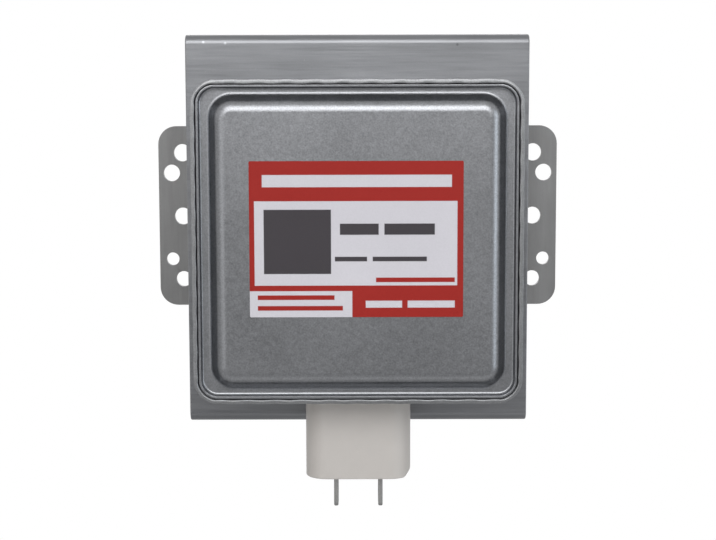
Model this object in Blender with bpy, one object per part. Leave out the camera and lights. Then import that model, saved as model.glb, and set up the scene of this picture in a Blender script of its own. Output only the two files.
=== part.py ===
"""Oven magnetron: vacuum tube, ring magnets, cooling fins, yoke and filter box.

The tube's axis is Y. The mounting plate's outer face is the plane Y = 0 and the antenna
stands out of it along +Y. The filter box is at the other end, its lid facing -Y, and the
two terminal tabs hang from its capacitor along -Z. All sizes are in metres.
"""
import math

import bmesh
import bpy
from mathutils import Vector

# Clearances
SEAT_GAP = 0.0003
FOIL_GAP = 0.0001
STEM_CLEARANCE = 0.0012
LID_GAP = 0.00045
CUT_PAST = 0.002

# Facets
ROUND_STEPS = 32
MIDDLE_ROUND_STEPS = 24
SMALL_ROUND_STEPS = 12
PIN_ROUND_STEPS = 8
CORNER_STEPS = 4
SHEET_BEND_STEPS = 2
EDGE_ROUND_STEPS = 3
SLOT_END_STEPS = 4
SLOT_FLAT = 0.0001
SMOOTH_ANGLE = math.radians(35)

# Yoke, a U of sheet steel open to the left and right
YOKE_WIDTH = 0.082
YOKE_HEIGHT = 0.0935
YOKE_DEPTH = 0.056
YOKE_SHEET = 0.0014
YOKE_INNER_BEND = 0.0009
STAKE_WIDTH = 0.010
STAKE_PITCH = 0.048

# Eyelets drawn from the yoke's base and flared over the filter box's floor
EYELET_PITCH_X = 0.048
EYELET_PITCH_Z = 0.046
EYELET_NECK_DIAMETER = 0.0036
EYELET_HEAD_DIAMETER = 0.0054
EYELET_HEAD_HEIGHT = 0.0007

# Mounting plate with an ear on each side
PLATE_SHEET = 0.0016
PLATE_CORNER = 0.0008
EAR_SPAN = 0.1106
EAR_HEIGHT = 0.0499
EAR_CORNER = 0.005
EAR_ROOT = 0.0015
EAR_BOLT_INSET = 0.0066
EAR_BOLT_MARGIN = 0.00735
EAR_PILOT_INSET = 0.0036
EAR_PILOT_MARGIN = 0.01295
EAR_TOP_BOLT_DIAMETER = 0.0048
EAR_MIDDLE_BOLT_DIAMETER = 0.0047
EAR_LOW_BOLT_DIAMETER = 0.0043
EAR_TOP_PILOT_DIAMETER = 0.0046
EAR_LOW_PILOT_DIAMETER = 0.0036

# Filter box, drawn from thin sheet, with a crimped rim
BOX_WIDTH = 0.0703
BOX_HEIGHT = 0.0689
BOX_DEPTH = 0.038
BOX_SHEET = 0.0005
BOX_CORNER = 0.005
BOX_FLOOR_BEND = 0.002
RIM_LENGTH = 0.0024
RIM_FLARE = 0.00025
RIM_WAVE = 0.00015
RIM_WAVE_PITCH = 0.006
RIM_WAVE_POINTS = 4

# Lid, a drawn pan with a moat round its raised panel
LID_SHEET = 0.0005
LID_RECESS = 0.0005
LID_BEND = 0.0005
MOAT_DEPTH = 0.0035
MOAT_WIDTH = 0.0014
PANEL_RISE = 0.0044
PANEL_DRAFT = 0.0011
PANEL_EDGE = 0.0021
PANEL_EDGE_STEPS = 4
PANEL_CORNER = 0.0042

# Label on the lid's panel
LABEL_WIDTH = 0.0458
LABEL_HEIGHT = 0.0335
LABEL_FOIL = 0.0001
LABEL_RIGHT = -0.0003
LABEL_UP = 0.0009

# Feed-through capacitor on the filter box's lower wall
FLANGE_WIDTH = 0.0345
FLANGE_DEPTH = 0.0245
FLANGE_SHEET = 0.0008
FLANGE_CORNER = 0.003
RIVET_PITCH_X = 0.0288
RIVET_PITCH_Y = 0.0188
RIVET_SHANK_DIAMETER = 0.0026
RIVET_HEAD_DIAMETER = 0.0050
RIVET_HEAD_HEIGHT = 0.0011
RIVET_TAIL_DIAMETER = 0.0042
RIVET_TAIL_HEIGHT = 0.0008
HOUSING_WIDTH = 0.0238
HOUSING_DEPTH = 0.016
HOUSING_REACH = 0.0200
HOUSING_WALL = 0.0015
HOUSING_FLOOR = 0.002
HOUSING_CORNER = 0.005
HOUSING_FOOT_ROUND = 0.0011
HOUSING_KEY_WIDTH = 0.0027
HOUSING_KEY_HEIGHT = 0.0026
INNER_CASE_WIDTH = 0.0194
INNER_CASE_DEPTH = 0.0116
INNER_CASE_HEIGHT = 0.0104
INNER_CASE_WALL = 0.0012
CERAMIC_WIDTH = 0.0180
CERAMIC_DEPTH = 0.0096
CERAMIC_HEIGHT = 0.0065
TERMINAL_PITCH = 0.01015
TERMINAL_ROD_DIAMETER = 0.002
TERMINAL_ROD_RISE = 0.0034
TAB_WIDTH = 0.0063
TAB_THICKNESS = 0.0008
TAB_REACH = 0.0076
TAB_ROOT = 0.0035
TAB_EDGE = 0.0001
TAB_TIP = 0.0009
TAB_TIP_NARROWING = 0.0012
TAB_TIP_THINNING = 0.0005
TAB_HOLE_DIAMETER = 0.0016
TAB_HOLE_FROM_TIP = 0.0034

# Choke coils and their ferrite cores, one each side of the stem
CHOKE_SIDE = 0.017
CHOKE_TURNS = 6
CHOKE_WIRE_DIAMETER = 0.0014
CHOKE_TURN_GAP = 0.0009
CHOKE_POINTS_PER_TURN = 8
CHOKE_LEAD = 0.0022
CORE_DIAMETER = 0.005
CORE_OVERHANG = 0.0012
CORE_CLEARANCE = 0.0004

# Tube envelope: sealing sleeves, stem and cathode leads
SLEEVE_DIAMETER = 0.018
SLEEVE_SHEET = 0.0006
SLEEVE_FLANGE_STEP = 0.0005
STEM_REACH = 0.0085
STEM_CERAMIC_LENGTH = 0.0095
STEM_CERAMIC_STEP = 0.0012
STEM_LEAD_PITCH = 0.007
STEM_TERMINAL_DIAMETER = 0.0044
STEM_TERMINAL_HEIGHT = 0.0008
STEM_POST_DIAMETER = 0.0022
STEM_POST_LENGTH = 0.0045
LEAD_DIAMETER = 0.0012
LEAD_BORE_DIAMETER = 0.002
SIDE_LEAD_OFFSET = 0.0026
LEAD_BEND_START = 0.012
LEAD_BEND_END = 0.004

# Ring magnets
MAGNET_DIAMETER = 0.056
MAGNET_BORE = 0.0205
MAGNET_THICKNESS = 0.013
MAGNET_CHAMFER = 0.0008

# Anode: cylinder, vanes and straps. Shares are of the anode's height
ANODE_DIAMETER = 0.039
ANODE_WALL = 0.002
ANODE_RECESS_STEP = 0.0007
ANODE_RECESS_DEPTH = 0.0022
VANE_COUNT = 10
VANE_THICKNESS = 0.0018
VANE_SHARE = 0.396
VANE_TIP_RADIUS = 0.0045
STRAP_INNER_RADIUS = 0.0061
STRAP_SPACING = 0.0017
STRAP_WIDTH = 0.0008
STRAP_HEIGHT = 0.0010
STRAP_FREE_GAP = 0.0009

# Pole pieces pressed into the anode's ends
POLE_SHEET = 0.0016
POLE_DISH_SHARE = 0.142
POLE_DISH_RADIUS = 0.0125
POLE_FLAT_RADIUS = 0.007
POLE_HOLE_RADIUS = 0.0046

# Cathode: filament coil between two end hats
HAT_RADIUS = 0.0036
HAT_THICKNESS = 0.0008
HAT_SETBACK = 0.0003
FILAMENT_RADIUS = 0.0017
FILAMENT_WIRE_DIAMETER = 0.0005
FILAMENT_TURNS = 7
FILAMENT_POINTS_PER_TURN = 6

# Antenna
ANTENNA_ROOT_RADIUS = 0.0102
ANTENNA_DIAMETER = 0.0022
ANTENNA_FOOT = 0.0018
ANTENNA_SLANT = 0.0135
ANTENNA_HOLE_CLEARANCE = 0.0012
OUTPUT_SLEEVE_RISE = 0.0034
OUTPUT_CONE_RISE = 0.0032
OUTPUT_CERAMIC_DIAMETER = 0.0146
OUTPUT_CERAMIC_WALL = 0.0021
OUTPUT_CERAMIC_LENGTH = 0.0074
EXHAUST_DIAMETER = 0.006
EXHAUST_WALL = 0.0006
EXHAUST_LENGTH = 0.0052
EXHAUST_PINCH_LENGTH = 0.0016
EXHAUST_PINCH_FLATNESS = 0.4
EXHAUST_PINCH_SPREAD = 1.25
CAP_DIAMETER = 0.0156
CAP_WALL = 0.0005
CAP_HEIGHT = 0.0078
CAP_EDGE = 0.0016

# Gasket of woven wire round the output
GASKET_WIDTH = 0.0056
GASKET_HEIGHT = 0.0036
GASKET_ROUND = 0.0012

# Cooling fins pressed on the anode
FIN_COUNT = 6
FIN_SHEET = 0.0006
FIN_WIDTH = 0.078
FIN_COLLAR_HEIGHT = 0.0024
FIN_LIP_LENGTH = 0.003
FIN_LIP_WIDTH = 0.062
FIN_LIP_BEND = 0.0005

# Places along the tube's axis that follow from the sizes above
BASE_OUTER = -YOKE_DEPTH
BASE_INNER = BASE_OUTER + YOKE_SHEET
PLATE_INNER = -PLATE_SHEET
BOX_FLOOR = BASE_OUTER - SEAT_GAP
BOX_RIM = BASE_OUTER - BOX_DEPTH
CAPACITOR_Y = BASE_OUTER - BOX_DEPTH / 2
OUTPUT_MAGNET_END = PLATE_INNER - SEAT_GAP - MAGNET_THICKNESS
INPUT_MAGNET_END = BASE_INNER + SEAT_GAP + MAGNET_THICKNESS
OUTPUT_FLANGE = OUTPUT_MAGNET_END - SEAT_GAP
INPUT_FLANGE = INPUT_MAGNET_END + SEAT_GAP
ANODE_HIGH = OUTPUT_FLANGE - SLEEVE_SHEET - SEAT_GAP
ANODE_LOW = INPUT_FLANGE + SLEEVE_SHEET + SEAT_GAP
ANODE_MIDDLE = (ANODE_HIGH + ANODE_LOW) / 2
VANE_HEIGHT = VANE_SHARE * (ANODE_HIGH - ANODE_LOW)
POLE_DISH_DEPTH = POLE_DISH_SHARE * (ANODE_HIGH - ANODE_LOW)
ANODE_RADIUS = ANODE_DIAMETER / 2
ANODE_BORE_RADIUS = ANODE_RADIUS - ANODE_WALL
SLEEVE_RADIUS = SLEEVE_DIAMETER / 2
SLEEVE_FLANGE_RADIUS = ANODE_RADIUS - SLEEVE_FLANGE_STEP
STEM_HOLE_RADIUS = SLEEVE_RADIUS + STEM_CLEARANCE
STEM_SLEEVE_END = BASE_OUTER - STEM_REACH
STEM_CERAMIC_START = STEM_SLEEVE_END - SEAT_GAP
STEM_CERAMIC_END = STEM_CERAMIC_START - STEM_CERAMIC_LENGTH
OUTPUT_CERAMIC_START = OUTPUT_SLEEVE_RISE + OUTPUT_CONE_RISE + SEAT_GAP
OUTPUT_CERAMIC_END = OUTPUT_CERAMIC_START + OUTPUT_CERAMIC_LENGTH

# Heights of the pieces that hang from the filter box's lower wall
WALL_OUTER_Z = -BOX_HEIGHT / 2
FLANGE_TOP_Z = WALL_OUTER_Z - SEAT_GAP
FLANGE_LOW_Z = FLANGE_TOP_Z - FLANGE_SHEET
HOUSING_TOP_Z = FLANGE_LOW_Z - SEAT_GAP
HOUSING_LOW_Z = WALL_OUTER_Z - HOUSING_REACH
TAB_TIP_Z = HOUSING_LOW_Z - TAB_REACH
INNER_CASE_LOW_Z = FLANGE_TOP_Z + SEAT_GAP
INNER_CASE_TOP_Z = INNER_CASE_LOW_Z + INNER_CASE_HEIGHT
TERMINAL_TOP_Z = INNER_CASE_TOP_Z + TERMINAL_ROD_RISE


def make_finish(name, color, metallic, roughness):
    """A plain Principled material for one finish."""
    material = bpy.data.materials.new(name)
    material.use_nodes = True
    shader = material.node_tree.nodes["Principled BSDF"]
    shader.inputs["Base Color"].default_value = (*color, 1.0)
    shader.inputs["Metallic"].default_value = metallic
    shader.inputs["Roughness"].default_value = roughness
    return material


def add_part(name, bm, material):
    """Turn a bmesh into a named object of the magnetron."""
    bmesh.ops.recalc_face_normals(bm, faces=bm.faces)
    mesh = bpy.data.meshes.new(name)
    bm.to_mesh(mesh)
    bm.free()
    mesh.materials.append(material)
    mesh.shade_smooth()
    mesh.set_sharp_from_angle(angle=SMOOTH_ANGLE)
    return link_part(name, mesh)


def link_part(name, data):
    part = bpy.data.objects.new(name, data)
    bpy.context.collection.objects.link(part)
    part.parent = bpy.data.objects["magnetron"]
    return part


def combine(target, bm, operation):
    """Cut a hidden tool body from the target, or join it to the target."""
    bmesh.ops.recalc_face_normals(bm, faces=bm.faces)
    mesh = bpy.data.meshes.new(target.name + "_tool")
    bm.to_mesh(mesh)
    bm.free()
    tool = link_part(mesh.name, mesh)
    tool.hide_render = True
    tool.display_type = "WIRE"
    modifier = target.modifiers.new(operation.lower(), "BOOLEAN")
    modifier.operation = operation
    modifier.solver = "EXACT"
    modifier.object = tool


def rounded(corners, steps=CORNER_STEPS):
    """A closed outline from corners (u, v, radius), with an arc at each round corner."""
    outline = []
    for index, (u, v, radius) in enumerate(corners):
        here = Vector((u, v))
        if radius <= 0.0:
            outline.append((u, v))
            continue
        before = (Vector(corners[index - 1][:2]) - here).normalized()
        after = (Vector(corners[(index + 1) % len(corners)][:2]) - here).normalized()
        half_angle = before.angle(after) / 2
        centre = here + (before + after).normalized() * (radius / math.sin(half_angle))
        start = here + before * (radius / math.tan(half_angle)) - centre
        end = here + after * (radius / math.tan(half_angle)) - centre
        first = math.atan2(start.y, start.x)
        sweep = math.remainder(math.atan2(end.y, end.x) - first, math.tau)
        for step in range(steps + 1):
            angle = first + sweep * step / steps
            outline.append((centre.x + radius * math.cos(angle), centre.y + radius * math.sin(angle)))
    return outline


def rounded_rectangle(width, height, radius, steps=CORNER_STEPS):
    right, top = width / 2, height / 2
    corners = [(right, -top, radius), (right, top, radius), (-right, top, radius), (-right, -top, radius)]
    return rounded(corners, steps)


def quarter_turn(steps):
    """Angles from 0 to a right angle, for the arc of an edge."""
    return [math.pi / 2 * step / steps for step in range(steps + 1)]


def slot_outline(width, depth):
    """An outline with half-round ends."""
    return rounded_rectangle(width, depth, depth / 2 - SLOT_FLAT, SLOT_END_STEPS)


def circle_outline(u, v, radius):
    angles = [math.tau * step / PIN_ROUND_STEPS for step in range(PIN_ROUND_STEPS)]
    return [(u + radius * math.cos(angle), v + radius * math.sin(angle)) for angle in angles]


def rectangle(left, right, low, high):
    return [(right, low), (right, high), (left, high), (left, low)]


def lifted(outline, axis, place):
    """Put a flat outline in space, square to the axis. Its u and v keep X, Y, Z order."""
    if axis == "X":
        return [Vector((place, u, v)) for u, v in outline]
    if axis == "Y":
        return [Vector((u, place, v)) for u, v in outline]
    return [Vector((u, v, place)) for u, v in outline]


def bridge(bm, low, high):
    """Faces between two rings. Rings of unequal count are zipped along the shorter diagonals."""
    if len(low) == len(high):
        for index in range(len(low)):
            bm.faces.new((low[index - 1], low[index], high[index], high[index - 1]))
        return
    nearest = min(range(len(high)), key=lambda index: (high[index].co - low[0].co).length)
    high = high[nearest:] + high[:nearest]
    low_index = high_index = 0
    while low_index < len(low) or high_index < len(high):
        low_here, high_here = low[low_index % len(low)], high[high_index % len(high)]
        low_next, high_next = low[(low_index + 1) % len(low)], high[(high_index + 1) % len(high)]
        low_turn = (low_next.co - high_here.co).length < (high_next.co - low_here.co).length
        if high_index == len(high) or (low_turn and low_index < len(low)):
            bm.faces.new((low_here, low_next, high_here))
            low_index += 1
        else:
            bm.faces.new((low_here, high_next, high_here))
            high_index += 1


def loft(bm, rings):
    """A closed body through rings of points, with its two ends capped."""
    loops = [[bm.verts.new(point) for point in ring] for ring in rings]
    for low, high in zip(loops, loops[1:]):
        bridge(bm, low, high)
    bm.faces.new(loops[0])
    bm.faces.new(loops[-1])


def prism(bm, outline, axis, low, high):
    loft(bm, [lifted(outline, axis, low), lifted(outline, axis, high)])


def turn(bm, profile, axis="Y", centre=(0.0, 0.0, 0.0), steps=ROUND_STEPS):
    """Spin a profile of (radius, height) points. It closes on itself or on the axis."""
    along = Vector((0, 1, 0)) if axis == "Y" else Vector((0, 0, 1))
    verts = [bm.verts.new(Vector((radius, 0, 0)) + along * height) for radius, height in profile]
    edges = [bm.edges.new(pair) for pair in zip(verts, verts[1:])]
    if profile[0][0] > 0.0:
        edges.append(bm.edges.new((verts[-1], verts[0])))
    known = set(bm.verts) - set(verts)
    bmesh.ops.spin(bm, geom=verts + edges, cent=(0, 0, 0), axis=along, angle=math.tau, steps=steps)
    fresh = [vert for vert in bm.verts if vert not in known]
    bmesh.ops.translate(bm, verts=fresh, vec=centre)
    bmesh.ops.remove_doubles(bm, verts=fresh, dist=0.000001)


def ring_profile(inner, outer, low, high):
    return [(inner, low), (outer, low), (outer, high), (inner, high)]


def rod_profile(radius, low, high):
    return [(0.0, low), (radius, low), (radius, high), (0.0, high)]


def turned_part(name, profile, material, axis="Y", centre=(0.0, 0.0, 0.0), steps=ROUND_STEPS):
    bm = bmesh.new()
    turn(bm, profile, axis, centre, steps)
    return add_part(name, bm, material)


def add_wire(name, points, diameter, material, roundness=1):
    """A round wire through points, with closed ends. Roundness 0 gives it four sides."""
    curve = bpy.data.curves.new(name, "CURVE")
    curve.dimensions = "3D"
    curve.bevel_depth = diameter / 2
    curve.bevel_resolution = roundness
    curve.use_fill_caps = True
    spline = curve.splines.new("POLY")
    spline.points.add(len(points) - 1)
    for point, place in zip(spline.points, points):
        point.co = (*place, 1.0)
    curve.materials.append(material)
    return link_part(name, curve)


def grid_places(pitch_u, pitch_v):
    """The four corners of a rectangle, as (u, v)."""
    return [(u * pitch_u / 2, v * pitch_v / 2) for u in (-1, 1) for v in (-1, 1)]


def make_yoke_frame(steel):
    """The U: a base with a leg above and below, bent from one strip of sheet."""
    half_height = YOKE_HEIGHT / 2
    outer_bend = YOKE_INNER_BEND + YOKE_SHEET
    inside = half_height - YOKE_SHEET
    leg_end = -SEAT_GAP
    outline = rounded([
        (leg_end, half_height, 0), (BASE_OUTER, half_height, outer_bend),
        (BASE_OUTER, -half_height, outer_bend), (leg_end, -half_height, 0),
        (leg_end, -inside, 0), (BASE_INNER, -inside, YOKE_INNER_BEND),
        (BASE_INNER, inside, YOKE_INNER_BEND), (leg_end, inside, 0)])
    bm = bmesh.new()
    prism(bm, outline, "X", -YOKE_WIDTH / 2, YOKE_WIDTH / 2)
    frame = add_part("yoke_frame", bm, steel)

    eyelets = bmesh.new()
    neck, head = EYELET_NECK_DIAMETER / 2, EYELET_HEAD_DIAMETER / 2
    head_start = BOX_FLOOR - BOX_SHEET - SEAT_GAP
    head_end = head_start - EYELET_HEAD_HEIGHT
    root = (BASE_OUTER + BASE_INNER) / 2
    profile = [(0, root), (neck, root), (neck, head_start), (head, head_start),
               (head, head_start - EYELET_HEAD_HEIGHT / 2), (neck, head_end), (0, head_end)]
    for x, z in grid_places(EYELET_PITCH_X, EYELET_PITCH_Z):
        turn(eyelets, profile, "Y", (x, 0, z), PIN_ROUND_STEPS)
    combine(frame, eyelets, "UNION")

    cuts = bmesh.new()
    stem_hole = rod_profile(STEM_HOLE_RADIUS, BASE_OUTER - CUT_PAST, BASE_INNER + CUT_PAST)
    turn(cuts, stem_hole, steps=MIDDLE_ROUND_STEPS)
    past_leg = half_height + CUT_PAST
    past_side = YOKE_WIDTH / 2 + CUT_PAST
    stake_out = (STAKE_PITCH + STAKE_WIDTH) / 2
    stake_in = (STAKE_PITCH - STAKE_WIDTH) / 2
    for left, right in ((-past_side, -stake_out), (-stake_in, stake_in), (stake_out, past_side)):
        prism(cuts, rectangle(left, right, -past_leg, past_leg), "Y", PLATE_INNER - SEAT_GAP, CUT_PAST)
    combine(frame, cuts, "DIFFERENCE")


def make_mounting_plate(steel):
    """The flat plate that bolts to the oven, with two ears and the output's hole."""
    side, top = YOKE_WIDTH / 2, YOKE_HEIGHT / 2
    ear, ear_top = EAR_SPAN / 2, EAR_HEIGHT / 2
    right_half = [
        (side, -top, PLATE_CORNER), (side, -ear_top, EAR_ROOT), (ear, -ear_top, EAR_CORNER),
        (ear, ear_top, EAR_CORNER), (side, ear_top, EAR_ROOT), (side, top, PLATE_CORNER)]
    left_half = [(-x, -z, radius) for x, z, radius in right_half]
    bm = bmesh.new()
    prism(bm, rounded(right_half + left_half), "Y", PLATE_INNER, 0)
    plate = add_part("mounting_plate", bm, steel)

    cuts = bmesh.new()
    low, high = PLATE_INNER - CUT_PAST, CUT_PAST
    turn(cuts, rod_profile(STEM_HOLE_RADIUS, low, high), steps=MIDDLE_ROUND_STEPS)
    bolt_x, bolt_z = ear - EAR_BOLT_INSET, ear_top - EAR_BOLT_MARGIN
    pilot_x, pilot_z = ear - EAR_PILOT_INSET, ear_top - EAR_PILOT_MARGIN
    for hand in (-1, 1):
        for x, z, diameter in ((bolt_x, bolt_z, EAR_TOP_BOLT_DIAMETER),
                               (pilot_x, pilot_z, EAR_TOP_PILOT_DIAMETER),
                               (bolt_x, 0, EAR_MIDDLE_BOLT_DIAMETER),
                               (pilot_x, -pilot_z, EAR_LOW_PILOT_DIAMETER),
                               (bolt_x, -bolt_z, EAR_LOW_BOLT_DIAMETER)):
            profile = rod_profile(diameter / 2, low, high)
            turn(cuts, profile, "Y", (hand * x, 0, z), SMALL_ROUND_STEPS)
    notch = STAKE_WIDTH / 2 + SEAT_GAP
    notch_floor = top - YOKE_SHEET - SEAT_GAP
    for hand in (-1, 1):
        x = hand * STAKE_PITCH / 2
        prism(cuts, rectangle(x - notch, x + notch, notch_floor, top + CUT_PAST), "Y", low, high)
        prism(cuts, rectangle(x - notch, x + notch, -top - CUT_PAST, -notch_floor), "Y", low, high)
    combine(plate, cuts, "DIFFERENCE")


def crimped_ring(flare, wave, place):
    """The box's outline at its rim: pushed out by flare and waved along the straight sides."""
    ring = []
    straight_x = BOX_WIDTH - 2 * BOX_CORNER
    straight_z = BOX_HEIGHT - 2 * BOX_CORNER
    for side in range(4):
        turn_angle = side * math.pi / 2
        out = Vector((math.cos(turn_angle), math.sin(turn_angle)))
        along = Vector((-out.y, out.x))
        length = straight_z if side % 2 == 0 else straight_x
        reach = (BOX_WIDTH if side % 2 == 0 else BOX_HEIGHT) / 2 + flare
        waves = max(1, round(length / RIM_WAVE_PITCH))
        count = waves * RIM_WAVE_POINTS
        for step in range(count + 1):
            swell = wave * (1 - math.cos(math.tau * step / RIM_WAVE_POINTS)) / 2
            ring.append(out * (reach + swell) + along * length * (step / count - 0.5))
        corner = out * (reach - flare - BOX_CORNER) + along * length / 2
        for step in range(1, CORNER_STEPS):
            angle = turn_angle + math.pi / 2 * step / CORNER_STEPS
            ring.append(corner + Vector((math.cos(angle), math.sin(angle))) * (BOX_CORNER + flare))
    return lifted([tuple(point) for point in ring], "Y", place)


def box_ring(inset, place):
    size = (BOX_WIDTH - 2 * inset, BOX_HEIGHT - 2 * inset)
    return lifted(rounded_rectangle(*size, BOX_CORNER - inset), "Y", place)


def make_filter_box(steel):
    """A deep-drawn open box: outside up to the crimped rim, over it and down inside."""
    bend = BOX_FLOOR_BEND
    tight = bend - BOX_SHEET
    wall_start = BOX_FLOOR - bend
    rim_start = BOX_RIM + RIM_LENGTH
    angles = quarter_turn(EDGE_ROUND_STEPS)
    outside = [box_ring(bend * (1 - math.sin(angle)), wall_start + bend * math.cos(angle))
               for angle in angles]
    inside = [box_ring(BOX_SHEET + tight * (1 - math.sin(angle)), wall_start + tight * math.cos(angle))
              for angle in reversed(angles)]
    rim = [crimped_ring(0, 0, rim_start), crimped_ring(RIM_FLARE, RIM_WAVE, BOX_RIM),
           crimped_ring(RIM_FLARE - BOX_SHEET, RIM_WAVE, BOX_RIM), crimped_ring(-BOX_SHEET, 0, rim_start)]
    bm = bmesh.new()
    loft(bm, outside + rim + inside)
    box = add_part("filter_box", bm, steel)

    cuts = bmesh.new()
    floor_low, floor_high = BOX_FLOOR - BOX_SHEET - CUT_PAST, BOX_FLOOR + CUT_PAST
    turn(cuts, rod_profile(STEM_HOLE_RADIUS, floor_low, floor_high), steps=MIDDLE_ROUND_STEPS)
    eyelet_hole = rod_profile(EYELET_NECK_DIAMETER / 2 + SEAT_GAP, floor_low, floor_high)
    for x, z in grid_places(EYELET_PITCH_X, EYELET_PITCH_Z):
        turn(cuts, eyelet_hole, "Y", (x, 0, z), PIN_ROUND_STEPS)
    wall_low, wall_high = WALL_OUTER_Z - CUT_PAST, WALL_OUTER_Z + BOX_SHEET + CUT_PAST
    window = [(x, CAPACITOR_Y + y) for x, y in inner_case_outline(SEAT_GAP)]
    prism(cuts, window, "Z", wall_low, wall_high)
    add_rivet_holes(cuts, wall_low, wall_high)
    combine(box, cuts, "DIFFERENCE")


def inner_case_outline(grow):
    """The capacitor's inner case from above, a slot with round ends."""
    width, depth = INNER_CASE_WIDTH + 2 * grow, INNER_CASE_DEPTH + 2 * grow
    return slot_outline(width, depth)


def add_rivet_holes(cuts, low, high):
    profile = rod_profile(RIVET_SHANK_DIAMETER / 2 + SEAT_GAP, low, high)
    for x, y in grid_places(RIVET_PITCH_X, RIVET_PITCH_Y):
        turn(cuts, profile, "Z", (x, CAPACITOR_Y + y, 0), PIN_ROUND_STEPS)


def arc_stations(centre_inset, centre_y, radius, first, last, steps):
    """Points (inset, y) of an arc in the lid's section, angles measured from the outside."""
    stations = []
    for step in range(steps + 1):
        angle = math.radians(first + (last - first) * step / steps)
        stations.append((centre_inset - radius * math.cos(angle), centre_y - radius * math.sin(angle)))
    return stations


def lid_section(depth_in_sheet):
    """The lid's section from flange edge to panel, as (inset, y), a depth into the sheet.

    Inset is measured inwards from the flange's outer face. Depth 0 is the face that shows
    and the sheet's thickness is the face inside the box.
    """
    d = depth_in_sheet
    edge_y = BOX_RIM + LID_RECESS
    moat_y = edge_y + MOAT_DEPTH
    panel_y = moat_y - PANEL_RISE
    wall_inset = LID_SHEET + MOAT_WIDTH
    section = [(LID_SHEET - d, edge_y)]
    for centre, first in ((LID_SHEET + LID_BEND, 0), (wall_inset - LID_BEND, -90)):
        bend = LID_BEND + d
        section += arc_stations(centre, moat_y - LID_BEND, bend, first, first - 90, SHEET_BEND_STEPS)
    slope = math.degrees(math.atan2(PANEL_DRAFT, PANEL_RISE - LID_BEND - PANEL_EDGE))
    centre = wall_inset + PANEL_DRAFT + PANEL_EDGE
    section += arc_stations(centre, panel_y + PANEL_EDGE, PANEL_EDGE - d, slope, 90, PANEL_EDGE_STEPS)
    return section


def make_filter_lid(steel):
    """The drawn pan that closes the box, and the label on its panel."""
    outer_width = BOX_WIDTH - 2 * (BOX_SHEET + LID_GAP)
    outer_height = BOX_HEIGHT - 2 * (BOX_SHEET + LID_GAP)
    flange_corner = BOX_CORNER - BOX_SHEET - LID_GAP
    wall_inset = LID_SHEET + MOAT_WIDTH
    extra = PANEL_CORNER - (flange_corner - wall_inset)

    def ring(inset, y):
        share = min(1.0, max(0.0, (inset - LID_SHEET) / (wall_inset - LID_SHEET)))
        radius = flange_corner - inset + extra * share
        size = (outer_width - 2 * inset, outer_height - 2 * inset)
        return lifted(rounded_rectangle(*size, max(radius, LID_BEND)), "Y", y)

    shown = [ring(*station) for station in lid_section(0.0)]
    hidden = [ring(*station) for station in lid_section(LID_SHEET)]
    bm = bmesh.new()
    loft(bm, list(reversed(shown)) + hidden)
    add_part("filter_lid", bm, steel)


def make_lid_label(foil):
    panel_y = BOX_RIM + LID_RECESS + MOAT_DEPTH - PANEL_RISE
    left, low = LABEL_RIGHT - LABEL_WIDTH / 2, LABEL_UP - LABEL_HEIGHT / 2
    outline = rectangle(left, left + LABEL_WIDTH, low, low + LABEL_HEIGHT)
    bm = bmesh.new()
    prism(bm, outline, "Y", panel_y - FOIL_GAP - LABEL_FOIL, panel_y - FOIL_GAP)
    add_part("lid_label", bm, foil)


def at_capacitor(outline):
    return [(x, CAPACITOR_Y + y) for x, y in outline]


def add_rod_holes(cuts, low, high):
    profile = rod_profile(TERMINAL_ROD_DIAMETER / 2 + SEAT_GAP, low, high)
    for hand in (-1, 1):
        turn(cuts, profile, "Z", (hand * TERMINAL_PITCH / 2, CAPACITOR_Y, 0), PIN_ROUND_STEPS)


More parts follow.
